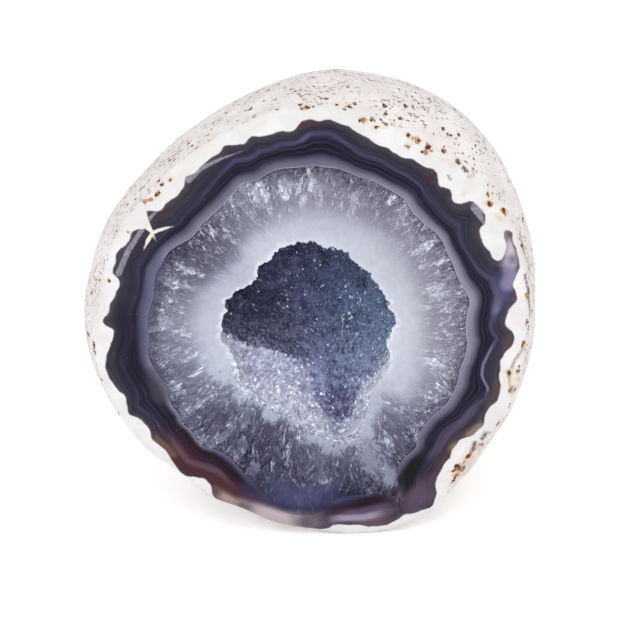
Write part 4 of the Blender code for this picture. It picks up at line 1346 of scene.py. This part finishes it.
def agate_look(look):
    """Colour of the banded agate."""
    wander = look.noise(look.vector("spoke", (4.0, 4.0, 6.0)))
    ripple = look.noise(look.vector("spoke", (22.0, 22.0, 12.0)))
    inward = look.value("depth")
    depth = look.add(inward, ripple, 0.3)
    layer = look.add(look.add(look.value("layer"), wander, 0.25), ripple, 0.10)
    layer = look.sum("MINIMUM", layer, look.times(inward, 2.0))
    lines = look.noise(look.stacked("spoke", 2.2, depth, 2.3), 2.0, 0.65)
    thin = look.noise(look.stacked("spoke", 3.0, depth, 3.6), 1.0, 0.6)
    first = look.value("first_tone")
    inner = look.step(look.add(layer, lines, 0.5), 0.15, 1.1)
    beyond = look.step(layer, 0.7, 1.2, 0.2, 1.0)
    bands = look.over(
        look.ramp(layer, AGATE_SHADES),
        (look.fade(inner, 1.0, 0.0), look.ramp(first, LAVENDER_SHADES)),
        (look.times(look.step(layer, 0.14, 0.02), look.step(first, 0.36, 0.46, 0.0, 0.7)), (172, 171, 190)),
        (look.times(look.step(thin, 0.54, 0.68), look.step(inward, 4.0, 2.5, 0.0, 0.09)), (150, 148, 170)),
        (look.times(look.step(lines, 0.52, 0.68, 0.0, 0.2), beyond), (90, 87, 110)),
        (look.times(look.step(lines, 0.48, 0.34, 0.0, 0.34), beyond), (26, 24, 32)),
    )

    # Violet band, stains, and specks of dust in the dark agate
    glow = look.value("glow")
    near = look.times(look.step(look.sum("ABSOLUTE", look.value("violet")), 1.0, 0.1), glow)
    violet = look.mix(look.step(glow, 0.8, 0.92), (84, 81, 112), (134, 130, 160))
    stain = look.mix(look.step(lines, 0.56, 0.38, 0.0, 0.13), look.value("stain", "Color"), BLACK)
    apart, shades = look.cells(look.place(0.9))
    speck = look.times(look.step(look.part(shades, 0), 0.8, 0.82), look.step(apart, 0.085, 0.05), 0.6)
    return look.over(
        bands,
        (look.times(near, look.range(lines, 0.3, 0.6, 0.6, 1.0)), violet),
        (look.value("stained"), stain),
        (speck, (176, 172, 184)),
    )


def face_material():
    """Polished cut face: quartz, agate, grey slivers, white rind and white flakes."""
    look = Look("polished_agate", FACE_SHEEN)
    tinted = look.times(look.value("stained"), 0.6)
    quartz = look.mix(tinted, quartz_look(look), look.value("stain", "Color"))
    chalk, height, outside = rind_look(look)
    jag = look.noise(look.place(1.3))
    frayed = look.noise(look.place(2.2), 2.0, 0.7)
    out = look.plus(look.value("agate"), jag, 0.1)
    grey = look.add(look.value("grey"), frayed, 0.12)
    cloud = look.mix(look.step(jag, 0.35, 0.65), (136, 132, 146), (164, 159, 172))
    lobes = look.cells(look.place(0.3))[0]
    rind = look.add(look.add(look.value("rind"), lobes, -1.0), frayed, 0.22)
    white = look.step(rind, -0.22, 0.2)
    mark = look.value("mark")
    flaked = look.over(
        look.mix(look.step(mark, 0.0, 0.3), (176, 160, 148), (244, 240, 236)),
        (look.step(frayed, 0.5, 0.35, 0.0, 0.4), (190, 176, 162)),
    )
    shade = look.over(
        quartz,
        (look.step(out, 0.02, 0.12), agate_look(look)),
        (look.step(grey, -0.12, 0.2, 0.0, 0.8), cloud),
        (white, chalk),
        (look.times(look.step(look.add(mark, jag, 0.4), -0.06, 0.08), look.less(1.0, white)), flaked),
    )
    return look.finish(
        Base_Color=shade,
        Roughness=look.fade(look.times(outside, white), 0.10, 0.55),
        IOR=QUARTZ_IOR,
        Specular_IOR_Level=0.12,
        Normal=look.bump(look.times(height, white), 0.6, 0.5),
    )


def rind_material():
    """Porous outside of the nodule."""
    look = Look("porous_rind")
    shade, height, _ = rind_look(look)
    normal = look.bump(height, 0.8, 0.6)
    return look.finish(Base_Color=shade, Roughness=0.6, IOR=1.5, Specular_IOR_Level=0.3, Normal=normal)


def crystal_material():
    """Small crystals: indigo in the depth, steel blue at the right, pale on the ledge and by the rim; the
    lighter right and the pale ledge are partly painted light, with painted shade, painted light and painted
    glints over them.
    """
    look = Look("quartz_druse")
    tone, across, up = (look.value(name) for name in ("tone", "across", "up"))
    patch = look.noise(look.place(0.2))
    grain = look.noise(look.place(0.9))
    mottle = look.noise(look.place(0.42), 4.0, 0.65)
    towards_right = look.add(across, patch, 16.0)
    # Painted shadow in the deep part at the lower left, just above the ledge
    painted_shadow = look.step(look.add(up, patch, 8.0), 5.0, 0.0)
    painted_shadow = look.times(painted_shadow, look.step(across, -2.0, -7.0, 0.0, 0.4))
    deep = look.over(
        # Lighter to the right: partly the crystals' steel blue, partly painted light
        look.ramp(towards_right, DEEP_SHADES),
        # Painted shade: the crystals darker towards the top of the hollow
        (look.step(look.add(up, patch, 10.0), 2.0, 16.0, 0.0, 0.35), (72, 72, 102)),
        # Painted light: the crystals lighter low in the deep part, to the right
        (look.times(look.step(up, -1.0, -12.0, 0.0, 0.74), look.step(across, -3.0, 4.5)), (160, 174, 214)),
        (look.step(up, -16.0, -21.0, 0.0, 0.85), (102, 98, 140)),
        (painted_shadow, (50, 48, 74)),
        (look.step(mottle, 0.5, 0.34, 0.0, 0.6), (54, 51, 80)),
        (look.step(mottle, 0.5, 0.66, 0.0, 0.42), (148, 156, 196)),
        # Painted light on the slope past the brow
        (look.step(look.add(look.value("half_lit"), grain, 2.0), 3.0, 0.4, 0.0, 0.6), (150, 154, 196)),
    )
    rim = look.step(look.plus(look.value("behind"), grain, 2.0), 2.8, 1.2)
    pale = look.over(
        # Pale ledge colours, partly the crystals' own colour and partly painted light
        look.ramp(look.add(across, patch, 9.0), LEDGE_SHADES),
        (look.step(mottle, 0.5, 0.34, 0.0, 0.4), (128, 130, 162)),
        (look.times(rim, 0.45), (214, 217, 228)),
    )
    # Pale zone outside the deep edge: partly the crystals' own paler colour, partly painted light on the lit
    # ledge
    pale_and_lit_zone = look.step(look.add(look.value("pale"), grain, 3.4), -0.5, 0.6)

    # Each crystal has its own brightness, and some carry a painted glint, a highlight put into the base
    # colour
    lively = look.step(look.plus(up, towards_right, -0.4), 12.0, -14.0, 0.25, 1.0)
    dull = look.times(look.range(tone, 0.0, 0.5, 1.0, 0.0), look.fade(pale_and_lit_zone, look.times(lively, 0.6), 0.5))
    bright = look.times(look.range(tone, 0.7, 1.0, 0.0, 0.6), lively)
    likely = look.plus(look.range(towards_right, -14.0, 8.0, 0.992, 0.968), pale_and_lit_zone, -0.03)
    shade = look.over(
        look.mix(pale_and_lit_zone, deep, pale),
        (dull, look.mix(pale_and_lit_zone, (34, 34, 60), (92, 94, 128))),
        (bright, look.mix(pale_and_lit_zone, (176, 186, 220), (236, 239, 248))),
        # Painted glints: facets coloured near white as highlights
        (look.sum("GREATER_THAN", look.value("painted_glint"), likely), PAINTED_GLINT),
    )
    return look.finish(Base_Color=shade, Roughness=look.fade(tone, 0.07, 0.16), IOR=QUARTZ_IOR)


def linked(name, data):
    """New object in the scene."""
    made = bpy.data.objects.new(name, data)
    bpy.context.scene.collection.objects.link(made)
    return made


def make_floor():
    """Pale floor just under the stone."""
    mesh = bpy.data.meshes.new("studio_floor")
    corners = ((-1, -1), (1, -1), (1, 1), (-1, 1))
    mesh.from_pydata([(x * FLOOR_HALF, y * FLOOR_HALF, 0.0) for x, y in corners], [], [(0, 1, 2, 3)])
    mesh.materials.append(Look("pale_floor").finish(
        Base_Color=FLOOR_COLOUR, Roughness=0.9, Specular_IOR_Level=0.0,
        Emission_Color=WHITE, Emission_Strength=FLOOR_GLOW,
    ))
    made = linked("studio_floor", mesh)
    made.location = (0.0, 0.0, FLOOR_HEIGHT)
    return made


def make_light(name, place, size, power):
    """Round soft light that looks at the stone."""
    data = bpy.data.lights.new(name, "AREA")
    data.shape = "DISK"
    data.size = size
    data.energy = power
    made = linked(name, data)
    made.location = place
    made.rotation_mode = "QUATERNION"
    made.rotation_quaternion = (Vector(LIGHT_TARGET) - Vector(place)).to_track_quat("-Z", "Y")


def make_studio():
    """Soft pale surroundings, one key light and a few small ones that wake the crystals."""
    scene = bpy.context.scene
    scene.world = bpy.data.worlds.new("studio")
    scene.world.use_nodes = True
    backdrop = scene.world.node_tree.nodes["Background"]
    backdrop.inputs["Color"].default_value = WHITE
    backdrop.inputs["Strength"].default_value = 1.0
    scene.view_settings.view_transform = "Standard"
    make_light("key", KEY_LIGHT, KEY_SIZE, KEY_POWER)
    for number, place in enumerate(SPARK_LIGHTS):
        make_light("spark_%d" % number, place, SPARK_SIZE, SPARK_POWER)


def make_camera():
    """Camera at the photograph's angle."""
    turn, drop = (math.radians(angle) for angle in CAMERA_TURN)
    ahead = Vector((math.sin(turn) * math.cos(drop), math.cos(turn) * math.cos(drop), -math.sin(drop)))
    right = Vector((math.cos(turn), -math.sin(turn), 0.0))
    above = right.cross(ahead)
    data = bpy.data.cameras.new("camera")
    data.sensor_width = SENSOR_WIDTH
    data.lens = CAMERA_LENS
    data.clip_start = 0.01
    data.clip_end = 20.0
    back, aside, lift = CAMERA_OFFSET
    place = Vector(FACE_CENTRE) * 0.001 - back * ahead - aside * right + lift * above
    made = linked("camera", data)
    made.matrix_world = Matrix.Translation(place) @ Matrix((right, above, -ahead)).transposed().to_4x4()
    bpy.context.scene.camera = made


def main():
    """Three pieces of the geode, the floor, the lights and the camera."""
    placed, faces, rows, seam, values = build_stone()
    face = mesh_object("polished_face", placed, faces[rows < seam], values, face_material())
    outside = {key: values[key] for key in ("behind", "pit", "rust")}
    rind = mesh_object("porous_rind", placed, faces[rows >= seam], outside, rind_material())
    crust = build_crust(crystal_material())
    for piece, node, name in (
        (face, "geode_body", "geode_stone"),
        (rind, "geode_body", "geode_stone"),
        (crust, "crystal_crust", "quartz_crystals"),
    ):
        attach(piece, "root")
        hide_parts(node)
    make_floor()
    make_studio()
    make_camera()


main()
